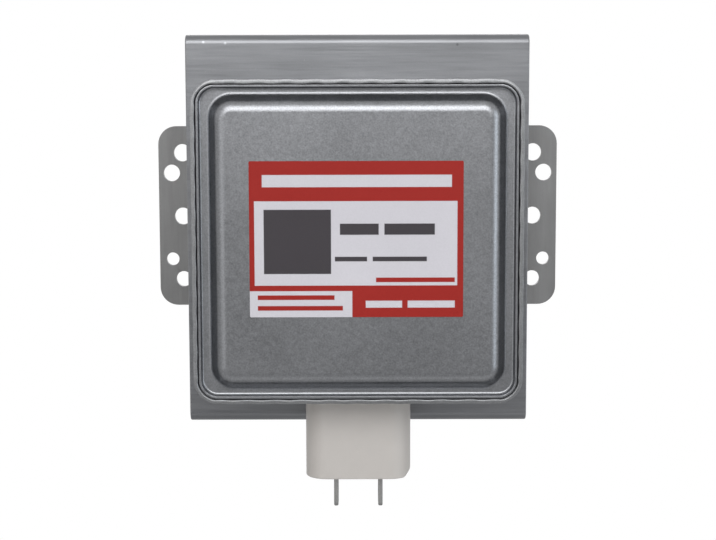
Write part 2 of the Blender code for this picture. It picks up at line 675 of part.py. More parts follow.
def make_capacitor(steel, bright_steel, plastic, ceramic, tin):
    """Flange, rivets, outer and inner cases, ceramic block and the two terminals."""
    bm = bmesh.new()
    outline = rounded_rectangle(FLANGE_WIDTH, FLANGE_DEPTH, FLANGE_CORNER)
    prism(bm, at_capacitor(outline), "Z", FLANGE_LOW_Z, FLANGE_TOP_Z)
    flange = add_part("capacitor_flange", bm, steel)
    cuts = bmesh.new()
    low, high = FLANGE_LOW_Z - CUT_PAST, FLANGE_TOP_Z + CUT_PAST
    prism(cuts, at_capacitor(inner_case_outline(-INNER_CASE_WALL)), "Z", low, high)
    add_rivet_holes(cuts, low, high)
    combine(flange, cuts, "DIFFERENCE")

    shank, head, tail = RIVET_SHANK_DIAMETER / 2, RIVET_HEAD_DIAMETER / 2, RIVET_TAIL_DIAMETER / 2
    head_z = FLANGE_LOW_Z - SEAT_GAP
    tail_z = WALL_OUTER_Z + BOX_SHEET + SEAT_GAP
    dome = [(head * math.sin(angle), head_z - RIVET_HEAD_HEIGHT * math.cos(angle))
            for angle in quarter_turn(EDGE_ROUND_STEPS)]
    profile = dome + [(shank, head_z), (shank, tail_z), (tail, tail_z),
                      (shank, tail_z + RIVET_TAIL_HEIGHT), (0, tail_z + RIVET_TAIL_HEIGHT)]
    for number, (x, y) in enumerate(grid_places(RIVET_PITCH_X, RIVET_PITCH_Y), 1):
        centre = (x, CAPACITOR_Y + y, 0)
        turned_part(f"flange_rivet_{number}", profile, bright_steel, "Z", centre, PIN_ROUND_STEPS)

    make_capacitor_housing(plastic)

    bm = bmesh.new()
    inner_grow = -INNER_CASE_WALL
    case_roof = INNER_CASE_TOP_Z - INNER_CASE_WALL
    loft(bm, [
        lifted(at_capacitor(inner_case_outline(inner_grow)), "Z", case_roof),
        lifted(at_capacitor(inner_case_outline(inner_grow)), "Z", INNER_CASE_LOW_Z),
        lifted(at_capacitor(inner_case_outline(0)), "Z", INNER_CASE_LOW_Z),
        lifted(at_capacitor(inner_case_outline(0)), "Z", INNER_CASE_TOP_Z)])
    case = add_part("capacitor_inner_case", bm, plastic)
    cuts = bmesh.new()
    add_rod_holes(cuts, case_roof - CUT_PAST, INNER_CASE_TOP_Z + CUT_PAST)
    combine(case, cuts, "DIFFERENCE")

    bm = bmesh.new()
    block_top = HOUSING_TOP_Z
    block_low = block_top - CERAMIC_HEIGHT
    prism(bm, at_capacitor(slot_outline(CERAMIC_WIDTH, CERAMIC_DEPTH)), "Z", block_low, block_top)
    block = add_part("ceramic_capacitor", bm, ceramic)
    cuts = bmesh.new()
    add_rod_holes(cuts, block_low - CUT_PAST, block_top + CUT_PAST)
    combine(block, cuts, "DIFFERENCE")

    for side, hand in (("left", -1), ("right", 1)):
        make_terminal_tab(f"terminal_tab_{side}", hand * TERMINAL_PITCH / 2, tin)


def make_capacitor_housing(plastic):
    """The white outer case, a cup whose floor has a slot for each tab and one keyed edge."""
    def ring(inset, z):
        size = (HOUSING_WIDTH - 2 * inset, HOUSING_DEPTH - 2 * inset)
        return lifted(at_capacitor(rounded_rectangle(*size, HOUSING_CORNER - inset)), "Z", z)

    foot = HOUSING_FOOT_ROUND
    rings = [ring(HOUSING_WALL, HOUSING_LOW_Z + HOUSING_FLOOR), ring(HOUSING_WALL, HOUSING_TOP_Z),
             ring(0, HOUSING_TOP_Z)]
    for angle in quarter_turn(EDGE_ROUND_STEPS):
        rings.append(ring(foot * (1 - math.cos(angle)), HOUSING_LOW_Z + foot * (1 - math.sin(angle))))
    bm = bmesh.new()
    loft(bm, rings)
    housing = add_part("capacitor_housing", bm, plastic)

    cuts = bmesh.new()
    tab_half = (TAB_THICKNESS / 2 + SEAT_GAP, TAB_WIDTH / 2 + SEAT_GAP)
    floor_high = HOUSING_LOW_Z + HOUSING_FLOOR + SEAT_GAP
    for hand in (-1, 1):
        x = hand * TERMINAL_PITCH / 2
        slot = rectangle(x - tab_half[0], x + tab_half[0],
                         CAPACITOR_Y - tab_half[1], CAPACITOR_Y + tab_half[1])
        prism(cuts, slot, "Z", HOUSING_LOW_Z - CUT_PAST, floor_high)
    side = HOUSING_WIDTH / 2
    slope = HOUSING_KEY_HEIGHT / HOUSING_KEY_WIDTH
    key = [(side - HOUSING_KEY_WIDTH - CUT_PAST, HOUSING_LOW_Z - CUT_PAST * slope),
           (side + CUT_PAST, HOUSING_LOW_Z - CUT_PAST * slope),
           (side + CUT_PAST, HOUSING_LOW_Z + HOUSING_KEY_HEIGHT + CUT_PAST * slope)]
    half_depth = HOUSING_DEPTH / 2 + CUT_PAST
    prism(cuts, key, "Y", CAPACITOR_Y - half_depth, CAPACITOR_Y + half_depth)
    combine(housing, cuts, "DIFFERENCE")


def make_terminal_tab(name, x, tin):
    """A conductor rod through the capacitor that ends in a flat push-on tab."""
    root_z = HOUSING_LOW_Z + TAB_ROOT

    def section(narrowing, z):
        width, thickness = TAB_WIDTH - narrowing, TAB_THICKNESS - min(narrowing, TAB_TIP_THINNING)
        outline = rounded_rectangle(thickness, width, TAB_EDGE, 1)
        return lifted([(x + u, CAPACITOR_Y + v) for u, v in outline], "Z", z)

    rings = [section(0, root_z)]
    for angle in quarter_turn(EDGE_ROUND_STEPS):
        z = TAB_TIP_Z + TAB_TIP * (1 - math.sin(angle))
        rings.append(section(TAB_TIP_NARROWING * (1 - math.cos(angle)), z))
    bm = bmesh.new()
    loft(bm, rings)
    tab = add_part(name, bm, tin)

    rod = bmesh.new()
    profile = rod_profile(TERMINAL_ROD_DIAMETER / 2, root_z - TERMINAL_ROD_DIAMETER / 2, TERMINAL_TOP_Z)
    turn(rod, profile, "Z", (x, CAPACITOR_Y, 0), PIN_ROUND_STEPS)
    combine(tab, rod, "UNION")

    hole = bmesh.new()
    circle = circle_outline(CAPACITOR_Y, TAB_TIP_Z + TAB_HOLE_FROM_TIP, TAB_HOLE_DIAMETER / 2)
    prism(hole, circle, "X", x - TAB_THICKNESS, x + TAB_THICKNESS)
    combine(tab, hole, "DIFFERENCE")


def make_chokes(copper, ferrite):
    """Two coils in the filter box, from the capacitor's rods to the stem's posts."""
    wire = CHOKE_WIRE_DIAMETER / 2
    coil_radius = CORE_DIAMETER / 2 + CORE_CLEARANCE + wire
    pitch = CHOKE_WIRE_DIAMETER + CHOKE_TURN_GAP
    half_length = CHOKE_TURNS * pitch / 2
    steps = CHOKE_TURNS * CHOKE_POINTS_PER_TURN
    rod_side = TERMINAL_PITCH / 2 + TERMINAL_ROD_DIAMETER / 2 + SEAT_GAP
    rod_z = TERMINAL_TOP_Z - CHOKE_WIRE_DIAMETER
    post_side = STEM_LEAD_PITCH / 2 + STEM_POST_DIAMETER / 2 + SEAT_GAP
    post_y = STEM_CERAMIC_END - SEAT_GAP - STEM_POST_LENGTH + CHOKE_WIRE_DIAMETER
    for side, hand in (("left", -1), ("right", 1)):
        start = (hand * (CHOKE_SIDE - coil_radius), CAPACITOR_Y)
        points = [(hand * rod_side, CAPACITOR_Y, rod_z), (start[0] - hand * wire, start[1], rod_z),
                  (start[0], start[1], -half_length - CHOKE_LEAD)]
        for step in range(steps + 1):
            angle = math.tau * step / CHOKE_POINTS_PER_TURN
            points.append((hand * (CHOKE_SIDE - coil_radius * math.cos(angle)),
                           CAPACITOR_Y + coil_radius * math.sin(angle),
                           -half_length + pitch * step / CHOKE_POINTS_PER_TURN))
        top = half_length + CHOKE_LEAD
        points += [(start[0], start[1], top), (start[0] - hand * wire, post_y, top),
                   (hand * (post_side + wire), post_y, wire), (hand * post_side, post_y, 0.0)]
        add_wire(f"choke_coil_{side}", points, CHOKE_WIRE_DIAMETER, copper)
        core_end = half_length + CORE_OVERHANG
        centre = (hand * CHOKE_SIDE, CAPACITOR_Y, 0)
        turned_part(f"ferrite_core_{side}", rod_profile(CORE_DIAMETER / 2, -core_end, core_end),
                    ferrite, "Z", centre, PIN_ROUND_STEPS)


def make_stem(steel, ceramic, nickel, molybdenum):
    """The cathode's way out: sleeve, ceramic, posts and the two leads inside."""
    inner = SLEEVE_RADIUS - SLEEVE_SHEET
    profile = [(SLEEVE_FLANGE_RADIUS, INPUT_FLANGE), (SLEEVE_FLANGE_RADIUS, INPUT_FLANGE + SLEEVE_SHEET),
               (inner, INPUT_FLANGE + SLEEVE_SHEET), (inner, STEM_SLEEVE_END),
               (SLEEVE_RADIUS, STEM_SLEEVE_END), (SLEEVE_RADIUS, INPUT_FLANGE)]
    turned_part("stem_sleeve", profile, steel, steps=MIDDLE_ROUND_STEPS)

    groove = STEM_CERAMIC_START - STEM_CERAMIC_LENGTH / 3
    groove_end = STEM_CERAMIC_START - STEM_CERAMIC_LENGTH * 2 / 3
    thin = SLEEVE_RADIUS - STEM_CERAMIC_STEP
    profile = [(0, STEM_CERAMIC_START), (SLEEVE_RADIUS, STEM_CERAMIC_START), (SLEEVE_RADIUS, groove),
               (thin, groove - STEM_CERAMIC_STEP / 2), (thin, groove_end),
               (SLEEVE_RADIUS, groove_end - STEM_CERAMIC_STEP / 2),
               (SLEEVE_RADIUS, STEM_CERAMIC_END), (0, STEM_CERAMIC_END)]
    block = turned_part("stem_ceramic", profile, ceramic, steps=MIDDLE_ROUND_STEPS)
    bores = bmesh.new()
    bore = rod_profile(LEAD_BORE_DIAMETER / 2, STEM_CERAMIC_END - CUT_PAST, STEM_CERAMIC_START + CUT_PAST)
    for hand in (-1, 1):
        turn(bores, bore, "Y", (hand * STEM_LEAD_PITCH / 2, 0, 0), PIN_ROUND_STEPS)
    combine(block, bores, "DIFFERENCE")

    seat = STEM_CERAMIC_END - SEAT_GAP
    disc, post = STEM_TERMINAL_DIAMETER / 2, STEM_POST_DIAMETER / 2
    profile = [(0, seat), (disc, seat), (disc, seat - STEM_TERMINAL_HEIGHT),
               (post, seat - STEM_TERMINAL_HEIGHT), (post, seat - STEM_POST_LENGTH),
               (0, seat - STEM_POST_LENGTH)]
    for side, hand in (("left", -1), ("right", 1)):
        centre = (hand * STEM_LEAD_PITCH / 2, 0, 0)
        turned_part(f"stem_terminal_{side}", profile, nickel, "Y", centre, PIN_ROUND_STEPS)

    half_vane = VANE_HEIGHT / 2
    low_hat = ANODE_MIDDLE - half_vane - HAT_SETBACK - HAT_THICKNESS
    high_hat = ANODE_MIDDLE + half_vane + HAT_SETBACK
    bend_start, bend_end = INPUT_MAGNET_END - LEAD_BEND_START, INPUT_MAGNET_END - LEAD_BEND_END
    lead_x = STEM_LEAD_PITCH / 2
    lead_end = seat + SEAT_GAP
    add_wire("cathode_lead_center", [(-lead_x, lead_end, 0), (-lead_x, bend_start, 0), (0, bend_end, 0),
                                     (0, high_hat - SEAT_GAP, 0)], LEAD_DIAMETER, molybdenum)
    add_wire("cathode_lead_side", [(lead_x, lead_end, 0), (lead_x, bend_start, 0),
                                   (SIDE_LEAD_OFFSET, bend_end, 0),
                                   (SIDE_LEAD_OFFSET, low_hat - SEAT_GAP, 0)], LEAD_DIAMETER, molybdenum)


def make_cathode(molybdenum, tungsten):
    """The filament coil on the tube's axis and the hat at each of its ends."""
    half_vane = VANE_HEIGHT / 2
    low_top = ANODE_MIDDLE - half_vane - HAT_SETBACK
    high_low = ANODE_MIDDLE + half_vane + HAT_SETBACK
    bore = LEAD_DIAMETER / 2 + SEAT_GAP
    low_profile = ring_profile(bore, HAT_RADIUS, low_top - HAT_THICKNESS, low_top)
    turned_part("end_hat_input", low_profile, molybdenum, steps=SMALL_ROUND_STEPS)
    high_profile = rod_profile(HAT_RADIUS, high_low, high_low + HAT_THICKNESS)
    turned_part("end_hat_output", high_profile, molybdenum, steps=SMALL_ROUND_STEPS)

    wire = FILAMENT_WIRE_DIAMETER / 2
    start, end = low_top + SEAT_GAP + wire, high_low - SEAT_GAP - wire
    steps = FILAMENT_TURNS * FILAMENT_POINTS_PER_TURN
    points = []
    for step in range(steps + 1):
        angle = math.tau * step / FILAMENT_POINTS_PER_TURN
        points.append((FILAMENT_RADIUS * math.cos(angle), start + (end - start) * step / steps,
                       FILAMENT_RADIUS * math.sin(angle)))
    add_wire("filament", points, FILAMENT_WIRE_DIAMETER, tungsten, 0)


def make_magnets(ferrite):
    """The two ring magnets, one against the base and one against the plate."""
    inner, outer, chamfer = MAGNET_BORE / 2, MAGNET_DIAMETER / 2, MAGNET_CHAMFER
    for name, low in (("magnet_input", BASE_INNER + SEAT_GAP), ("magnet_output", OUTPUT_MAGNET_END)):
        high = low + MAGNET_THICKNESS
        profile = [(inner, low), (outer - chamfer, low), (outer, low + chamfer),
                   (outer, high - chamfer), (outer - chamfer, high), (inner, high)]
        turned_part(name, profile, ferrite)


def strap_pocket(near, seated, edge, out):
    """Corners of one strap's pocket in a vane's edge, near to far, out being the edge's side."""
    depth = STRAP_HEIGHT + (SEAT_GAP if seated else STRAP_FREE_GAP)
    return [(near, edge - out * depth), (near + STRAP_SPACING, edge - out * depth)]


def make_anode(copper):
    """The cylinder, its vanes and the two pairs of straps that tie alternate vanes."""
    recess = ANODE_BORE_RADIUS + ANODE_RECESS_STEP
    profile = [
        (ANODE_RADIUS, ANODE_LOW), (ANODE_RADIUS, ANODE_HIGH), (recess, ANODE_HIGH),
        (recess, ANODE_HIGH - ANODE_RECESS_DEPTH), (ANODE_BORE_RADIUS, ANODE_HIGH - ANODE_RECESS_DEPTH),
        (ANODE_BORE_RADIUS, ANODE_LOW + ANODE_RECESS_DEPTH), (recess, ANODE_LOW + ANODE_RECESS_DEPTH),
        (recess, ANODE_LOW)]
    turned_part("anode_cylinder", profile, copper)

    pocket = STRAP_INNER_RADIUS - (STRAP_SPACING - STRAP_WIDTH) / 2
    low, high = ANODE_MIDDLE - VANE_HEIGHT / 2, ANODE_MIDDLE + VANE_HEIGHT / 2
    wall = ANODE_BORE_RADIUS * math.cos(math.pi / ROUND_STEPS) - SEAT_GAP
    meshes = []
    for inner_high_seated in (True, False):
        outline = [(VANE_TIP_RADIUS, low), (pocket, low)]
        outline += strap_pocket(pocket, not inner_high_seated, low, -1)
        outline += strap_pocket(pocket + STRAP_SPACING, inner_high_seated, low, -1)
        outline += [(pocket + 2 * STRAP_SPACING, low), (wall, low), (wall, high),
                    (pocket + 2 * STRAP_SPACING, high)]
        outline += reversed(strap_pocket(pocket + STRAP_SPACING, not inner_high_seated, high, 1))
        outline += reversed(strap_pocket(pocket, inner_high_seated, high, 1))
        outline += [(pocket, high), (VANE_TIP_RADIUS, high)]
        bm = bmesh.new()
        rings = [[Vector((side * VANE_THICKNESS / 2, y, radius)) for radius, y in outline]
                 for side in (-1, 1)]
        loft(bm, rings)
        vane = add_part(f"anode_vane_{len(meshes) + 1:02d}", bm, copper)
        meshes.append(vane.data)
        vane.rotation_euler = (0, math.tau * (len(meshes) - 1) / VANE_COUNT, 0)
    for index in range(2, VANE_COUNT):
        vane = link_part(f"anode_vane_{index + 1:02d}", meshes[index % 2])
        vane.rotation_euler = (0, math.tau * index / VANE_COUNT, 0)

    for name, radius in (("inner", STRAP_INNER_RADIUS), ("outer", STRAP_INNER_RADIUS + STRAP_SPACING)):
        for end, low_side in (("input", low), ("output", high - STRAP_HEIGHT)):
            profile = ring_profile(radius, radius + STRAP_WIDTH, low_side, low_side + STRAP_HEIGHT)
            turned_part(f"strap_{name}_{end}", profile, copper, steps=SMALL_ROUND_STEPS)


def antenna_hole_radius():
    """How far from the axis the slanted antenna lead crosses the output pole piece's dish."""
    dish_slope = POLE_DISH_DEPTH / (POLE_DISH_RADIUS - POLE_FLAT_RADIUS)
    lead_slope = ANTENNA_SLANT / ANTENNA_ROOT_RADIUS
    dish_axis_y = ANODE_HIGH - SEAT_GAP - POLE_SHEET / 2 - dish_slope * POLE_DISH_RADIUS
    lead_axis_y = antenna_knee_y() + ANTENNA_SLANT
    return (lead_axis_y - dish_axis_y) / (dish_slope + lead_slope)


def antenna_knee_y():
    return ANODE_MIDDLE + VANE_HEIGHT / 2 + SEAT_GAP + ANTENNA_FOOT


def make_pole_pieces(iron):
    """Dished soft-iron discs that sit in the anode's ends and gather the magnets' field."""
    rim = ANODE_BORE_RADIUS + ANODE_RECESS_STEP - SEAT_GAP
    for name, end, inward in (("pole_piece_output", ANODE_HIGH, -1), ("pole_piece_input", ANODE_LOW, 1)):
        outer = end + inward * SEAT_GAP
        inner = outer + inward * POLE_SHEET
        dish = inward * POLE_DISH_DEPTH
        profile = [(rim, outer), (POLE_DISH_RADIUS, outer), (POLE_FLAT_RADIUS, outer + dish),
                   (POLE_HOLE_RADIUS, outer + dish), (POLE_HOLE_RADIUS, inner + dish),
                   (POLE_FLAT_RADIUS, inner + dish), (POLE_DISH_RADIUS, inner), (rim, inner)]
        piece = turned_part(name, profile, iron, steps=MIDDLE_ROUND_STEPS)
        if inward < 0:
            hole = bmesh.new()
            radius = ANTENNA_DIAMETER / 2 + ANTENNA_HOLE_CLEARANCE
            low, high = inner + dish - CUT_PAST, outer + CUT_PAST
            turn(hole, rod_profile(radius, low, high), "Y", (0, 0, antenna_hole_radius()), PIN_ROUND_STEPS)
            combine(piece, hole, "DIFFERENCE")


def make_output(steel, ceramic, copper, bright_steel, mesh_metal):
    """The antenna's way out through the plate: sleeve, ceramic, exhaust tube, cap, gasket."""
    inner = SLEEVE_RADIUS - SLEEVE_SHEET
    low_flange = OUTPUT_FLANGE - SLEEVE_SHEET
    ceramic_radius = OUTPUT_CERAMIC_DIAMETER / 2
    cone_top = OUTPUT_SLEEVE_RISE + OUTPUT_CONE_RISE
    profile = [(SLEEVE_FLANGE_RADIUS, low_flange), (SLEEVE_FLANGE_RADIUS, OUTPUT_FLANGE),
               (SLEEVE_RADIUS, OUTPUT_FLANGE), (SLEEVE_RADIUS, OUTPUT_SLEEVE_RISE),
               (ceramic_radius, cone_top), (ceramic_radius - SLEEVE_SHEET, cone_top),
               (inner, OUTPUT_SLEEVE_RISE), (inner, low_flange)]
    turned_part("output_sleeve", profile, steel, steps=MIDDLE_ROUND_STEPS)

    profile = ring_profile(ceramic_radius - OUTPUT_CERAMIC_WALL, ceramic_radius,
                           OUTPUT_CERAMIC_START, OUTPUT_CERAMIC_END)
    turned_part("output_ceramic", profile, ceramic, steps=MIDDLE_ROUND_STEPS)

    tube_base = OUTPUT_CERAMIC_END + SEAT_GAP
    pinch = tube_base + EXHAUST_LENGTH
    knee = antenna_knee_y()
    add_wire("antenna_lead", [(0, knee - ANTENNA_FOOT, ANTENNA_ROOT_RADIUS), (0, knee, ANTENNA_ROOT_RADIUS),
                              (0, knee + ANTENNA_SLANT, 0), (0, pinch - SEAT_GAP, 0)],
             ANTENNA_DIAMETER, copper)

    tube = EXHAUST_DIAMETER / 2
    bore = tube - EXHAUST_WALL
    tip = pinch + EXHAUST_PINCH_LENGTH
    cap_inner = CAP_DIAMETER / 2 - CAP_WALL - SEAT_GAP
    profile = [(cap_inner, tube_base), (cap_inner, tube_base + EXHAUST_WALL),
               (tube, tube_base + EXHAUST_WALL), (tube, pinch), (tube, tip), (0, tip),
               (0, pinch + EXHAUST_WALL), (bore, pinch), (bore, tube_base)]
    bm = bmesh.new()
    turn(bm, profile, steps=SMALL_ROUND_STEPS)
    for vert in bm.verts:
        if vert.co.y > pinch + EXHAUST_WALL:
            vert.co.x *= EXHAUST_PINCH_SPREAD
            vert.co.z *= EXHAUST_PINCH_FLATNESS
    add_part("exhaust_tube", bm, copper)

    outer = CAP_DIAMETER / 2
    cap_low = OUTPUT_CERAMIC_END + SEAT_GAP
    cap_high = cap_low + CAP_HEIGHT
    shell, lining = [], []
    tight = CAP_EDGE - CAP_WALL
    for angle in quarter_turn(EDGE_ROUND_STEPS):
        short_out, short_up = 1 - math.cos(angle), 1 - math.sin(angle)
        shell.append((outer - CAP_EDGE * short_out, cap_high - CAP_EDGE * short_up))
        lining.append((outer - CAP_WALL - tight * short_out, cap_high - CAP_WALL - tight * short_up))
    profile = [(0, cap_high)] + shell[::-1] + [(outer, cap_low), (outer - CAP_WALL, cap_low)]
    profile += lining + [(0, cap_high - CAP_WALL)]
    turned_part("antenna_cap", profile, bright_steel, steps=MIDDLE_ROUND_STEPS)

    ring_in = SLEEVE_RADIUS + SEAT_GAP
    outline = rounded_rectangle(GASKET_WIDTH, GASKET_HEIGHT, GASKET_ROUND, 1)
    section = [(ring_in + GASKET_WIDTH / 2 + u, SEAT_GAP + GASKET_HEIGHT / 2 + v) for u, v in outline]
    turned_part("gasket_mesh", section, mesh_metal, steps=MIDDLE_ROUND_STEPS)


def make_fins(aluminium):
    """Aluminium sheets on the anode, each with a drawn collar and a lip against each leg."""
    leg_inside = YOKE_HEIGHT / 2 - YOKE_SHEET - SEAT_GAP
    first = ANODE_LOW + FIN_SHEET
    room = ANODE_HIGH - FIN_COLLAR_HEIGHT - first
    pitch = room / (FIN_COUNT - 1)
    bend = FIN_LIP_BEND
    outer_bend = bend + FIN_SHEET
    collar_inner = ANODE_RADIUS + SEAT_GAP
    collar_outer = collar_inner + FIN_SHEET
    for index in range(FIN_COUNT):
        low = first + index * pitch
        lip = low + FIN_LIP_LENGTH
        inside = leg_inside - FIN_SHEET
        outline = rounded([
            (lip, leg_inside, 0), (low, leg_inside, outer_bend), (low, -leg_inside, outer_bend),
            (lip, -leg_inside, 0), (lip, -inside, 0), (low + FIN_SHEET, -inside, bend),
            (low + FIN_SHEET, inside, bend), (lip, inside, 0)], SHEET_BEND_STEPS)
        bm = bmesh.new()
        prism(bm, outline, "X", -FIN_WIDTH / 2, FIN_WIDTH / 2)
        fin = add_part(f"cooling_fin_{index + 1}", bm, aluminium)

        collar = bmesh.new()
        middle = low + FIN_SHEET / 2
        turn(collar, rod_profile(collar_outer, middle, low + FIN_COLLAR_HEIGHT), steps=MIDDLE_ROUND_STEPS)
        combine(fin, collar, "UNION")

        cuts = bmesh.new()
        bore = rod_profile(collar_inner, low - CUT_PAST, low + FIN_COLLAR_HEIGHT + CUT_PAST)
        turn(cuts, bore, steps=MIDDLE_ROUND_STEPS)
        side, notch = FIN_WIDTH / 2 + CUT_PAST, FIN_LIP_WIDTH / 2
        shoulder = inside - bend - FIN_LIP_LENGTH
        for x_low, x_high in ((-side, -notch), (notch, side)):
            for z_low, z_high in ((shoulder, leg_inside + CUT_PAST), (-leg_inside - CUT_PAST, -shoulder)):
                prism(cuts, rectangle(x_low, x_high, z_low, z_high), "Y", low - CUT_PAST, lip + CUT_PAST)
        combine(fin, cuts, "DIFFERENCE")


def build():
    for item in list(bpy.data.objects):
        bpy.data.objects.remove(item, do_unlink=True)
    hub = bpy.data.objects.new("magnetron", None)
    bpy.context.collection.objects.link(hub)

    plated_steel = make_finish("plated_steel", (0.42, 0.42, 0.43), 0.9, 0.42)
    plate_steel = make_finish("plate_steel", (0.36, 0.36, 0.37), 0.9, 0.5)
    box_steel = make_finish("box_steel", (0.40, 0.41, 0.42), 0.9, 0.38)
    bright_steel = make_finish("bright_steel", (0.62, 0.62, 0.63), 1.0, 0.25)
    nickel = make_finish("nickel", (0.60, 0.58, 0.54), 1.0, 0.3)
    tin = make_finish("tin", (0.55, 0.55, 0.54), 1.0, 0.35)
    iron = make_finish("soft_iron", (0.35, 0.35, 0.36), 1.0, 0.5)
    copper = make_finish("copper", (0.72, 0.42, 0.28), 1.0, 0.35)
    enamel_copper = make_finish("enamel_copper", (0.50, 0.22, 0.09), 0.6, 0.35)
    aluminium = make_finish("aluminium", (0.75, 0.76, 0.77), 1.0, 0.4)
    molybdenum = make_finish("molybdenum", (0.50, 0.49, 0.48), 1.0, 0.4)
    tungsten = make_finish("tungsten", (0.25, 0.25, 0.26), 1.0, 0.55)
    mesh_metal = make_finish("mesh_metal", (0.52, 0.50, 0.46), 1.0, 0.55)
    ferrite = make_finish("ferrite", (0.07, 0.07, 0.075), 0.0, 0.6)
    ceramic = make_finish("ceramic", (0.85, 0.80, 0.74), 0.0, 0.45)
    plastic = make_finish("white_plastic", (0.72, 0.70, 0.67), 0.0, 0.45)
    foil = make_finish("label_foil", (0.80, 0.79, 0.80), 0.0, 0.35)

    make_yoke_frame(plated_steel)
    make_mounting_plate(plate_steel)
    make_filter_box(box_steel)
    make_filter_lid(box_steel)
    make_lid_label(foil)
    make_capacitor(box_steel, bright_steel, plastic, ceramic, tin)
    make_chokes(enamel_copper, ferrite)
    make_stem(nickel, ceramic, nickel, molybdenum)
    make_cathode(molybdenum, tungsten)
    make_magnets(ferrite)
    make_anode(copper)
    make_pole_pieces(iron)
    make_output(nickel, ceramic, copper, bright_steel, mesh_metal)
    make_fins(aluminium)


build()
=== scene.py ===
import math

import bmesh
import bpy
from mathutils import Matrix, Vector


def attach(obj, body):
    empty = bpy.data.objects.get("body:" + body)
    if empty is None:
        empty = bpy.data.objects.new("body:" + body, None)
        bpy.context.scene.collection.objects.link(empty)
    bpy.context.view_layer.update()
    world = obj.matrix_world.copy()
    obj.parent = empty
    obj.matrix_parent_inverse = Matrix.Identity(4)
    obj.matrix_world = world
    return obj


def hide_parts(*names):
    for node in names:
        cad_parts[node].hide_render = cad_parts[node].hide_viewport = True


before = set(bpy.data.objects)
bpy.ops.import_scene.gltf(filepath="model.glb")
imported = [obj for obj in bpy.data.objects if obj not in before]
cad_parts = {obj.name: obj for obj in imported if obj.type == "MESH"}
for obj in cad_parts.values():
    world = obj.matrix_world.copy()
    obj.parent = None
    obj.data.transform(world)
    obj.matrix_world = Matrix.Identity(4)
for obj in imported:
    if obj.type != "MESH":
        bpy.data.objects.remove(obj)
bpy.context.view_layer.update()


# Yoke frame
# One strip of zinc-plated steel, rolled 1.4 mm thick and bent to a U that closes the magnets'
# field. Four stakes on the ends of its legs go through the mounting plate, and handling has
# left a few nicks on its upper bend.
class Signal:
    """A shader socket that takes part in Python sums, each of which adds a node."""

    def __init__(self, finish, socket):
        self.finish = finish
        self.socket = socket

    def sum(self, operation, first, second=0.0):
        return self.finish.add("Math", {"operation": operation}, {0: first, 1: second})

    def __add__(self, other):
        return self.sum("ADD", self, other)

    __radd__ = __add__

    def __sub__(self, other):
        return self.sum("SUBTRACT", self, other)

    def __rsub__(self, other):
        return self.sum("SUBTRACT", other, self)

    def __mul__(self, other):
        return self.sum("MULTIPLY", self, other)

    __rmul__ = __mul__

    def __truediv__(self, other):
        return self.sum("DIVIDE", self, other)

    def __abs__(self):
        return self.sum("ABSOLUTE", self)


class Finish:
    """A material, built node by node round its Principled shader."""

    def __init__(self, name, color, metallic=0.0, roughness=0.5):
        self.material = bpy.data.materials.new(name)
        self.material.use_nodes = True
        self.tree = self.material.node_tree
        self.shader = self.tree.nodes["Principled BSDF"]
        self.color = color
        self.set("Base Color", color)
        self.set("Metallic", metallic)
        self.set("Roughness", roughness)
        self.place = self.add("TexCoord", {}, {}, "Object")

    def feed(self, socket, value):
        """A value or a signal goes into a socket."""
        if isinstance(value, Signal):
            self.tree.links.new(value.socket, socket)
        elif isinstance(value, tuple) and socket.type == "RGBA":
            socket.default_value = (*value, 1.0)
        else:
            socket.default_value = value

    def set(self, name, value):
        self.feed(self.shader.inputs[name], value)

    def add(self, kind, settings, sockets, output=0):
        """A node of any kind, with its settings set before its sockets are fed."""
        node = self.tree.nodes.new("ShaderNode" + kind)
        for name, value in settings.items():
            if name == "stops":
                stops = node.color_ramp.elements
                stops[0].position, stops[-1].position = value[0][0], value[-1][0]
                for place, _ in value[1:-1]:
                    stops.new(place)
                for stop, (_, level) in zip(stops, value):
                    stop.color = (level, level, level, 1.0)
            else:
                setattr(node, name, value)
        for name, value in sockets.items():
            self.feed(node.inputs[name], value)
        return Signal(self, node.outputs[output])

    def axis(self, letter):
        """Object coordinates along one axis."""
        return self.add("SeparateXYZ", {}, {"Vector": self.place}, letter)

    def stretched(self, scale):
        """Object coordinates with a scale for each axis."""
        return self.add("Mapping", {}, {"Vector": self.place, "Scale": scale})

    def noise(self, scale, detail=3.0, rough=0.5, over=None):
        return self.add("TexNoise", {}, {"Vector": over or self.place, "Scale": scale,
                                         "Detail": detail, "Roughness": rough})

    def grains(self, scale, output="Color"):
        """Cells with one level each, or the distance from their middles."""
        cell = self.add("TexVoronoi", {}, {"Vector": self.place, "Scale": scale}, output)
        return self.add("SeparateColor", {}, {"Color": cell}) if output == "Color" else cell

    def ramp(self, value, *stops):
        """A value led through stops of (place, level)."""
        return self.add("ValToRGB", {"stops": stops}, {"Fac": value})

    def mix(self, factor, first, second):
        """Two colours, the second where the factor is 1."""
        return self.add("Mix", {"data_type": "RGBA"}, {0: factor, 6: first, 7: second}, 2)

    def walls(self):
        """The piece's own attribute: 0 on faces square to the tube's axis and 1 on its walls, where
        the sheet finishes paint light.
        """
        return self.add("Attribute", {"attribute_name": "wall"}, {}, "Fac")

    def shaded(self, level, color=None):
        """The finish's own colour or a given one, made lighter or darker by a level round 1."""
        sockets = {0: color or self.color, "Scale": level}
        return self.add("VectorMath", {"operation": "SCALE"}, sockets)

    def bump(self, height, distance):
        self.set("Normal", self.add("Bump", {}, {"Height": height, "Distance": distance}))


# Painted light: a sheet's walls, the faces turned away from the tube's axis, are painted this much
# brighter than its faces, as if they caught more light.
PAINTED_WALL_LIGHT = 0.6


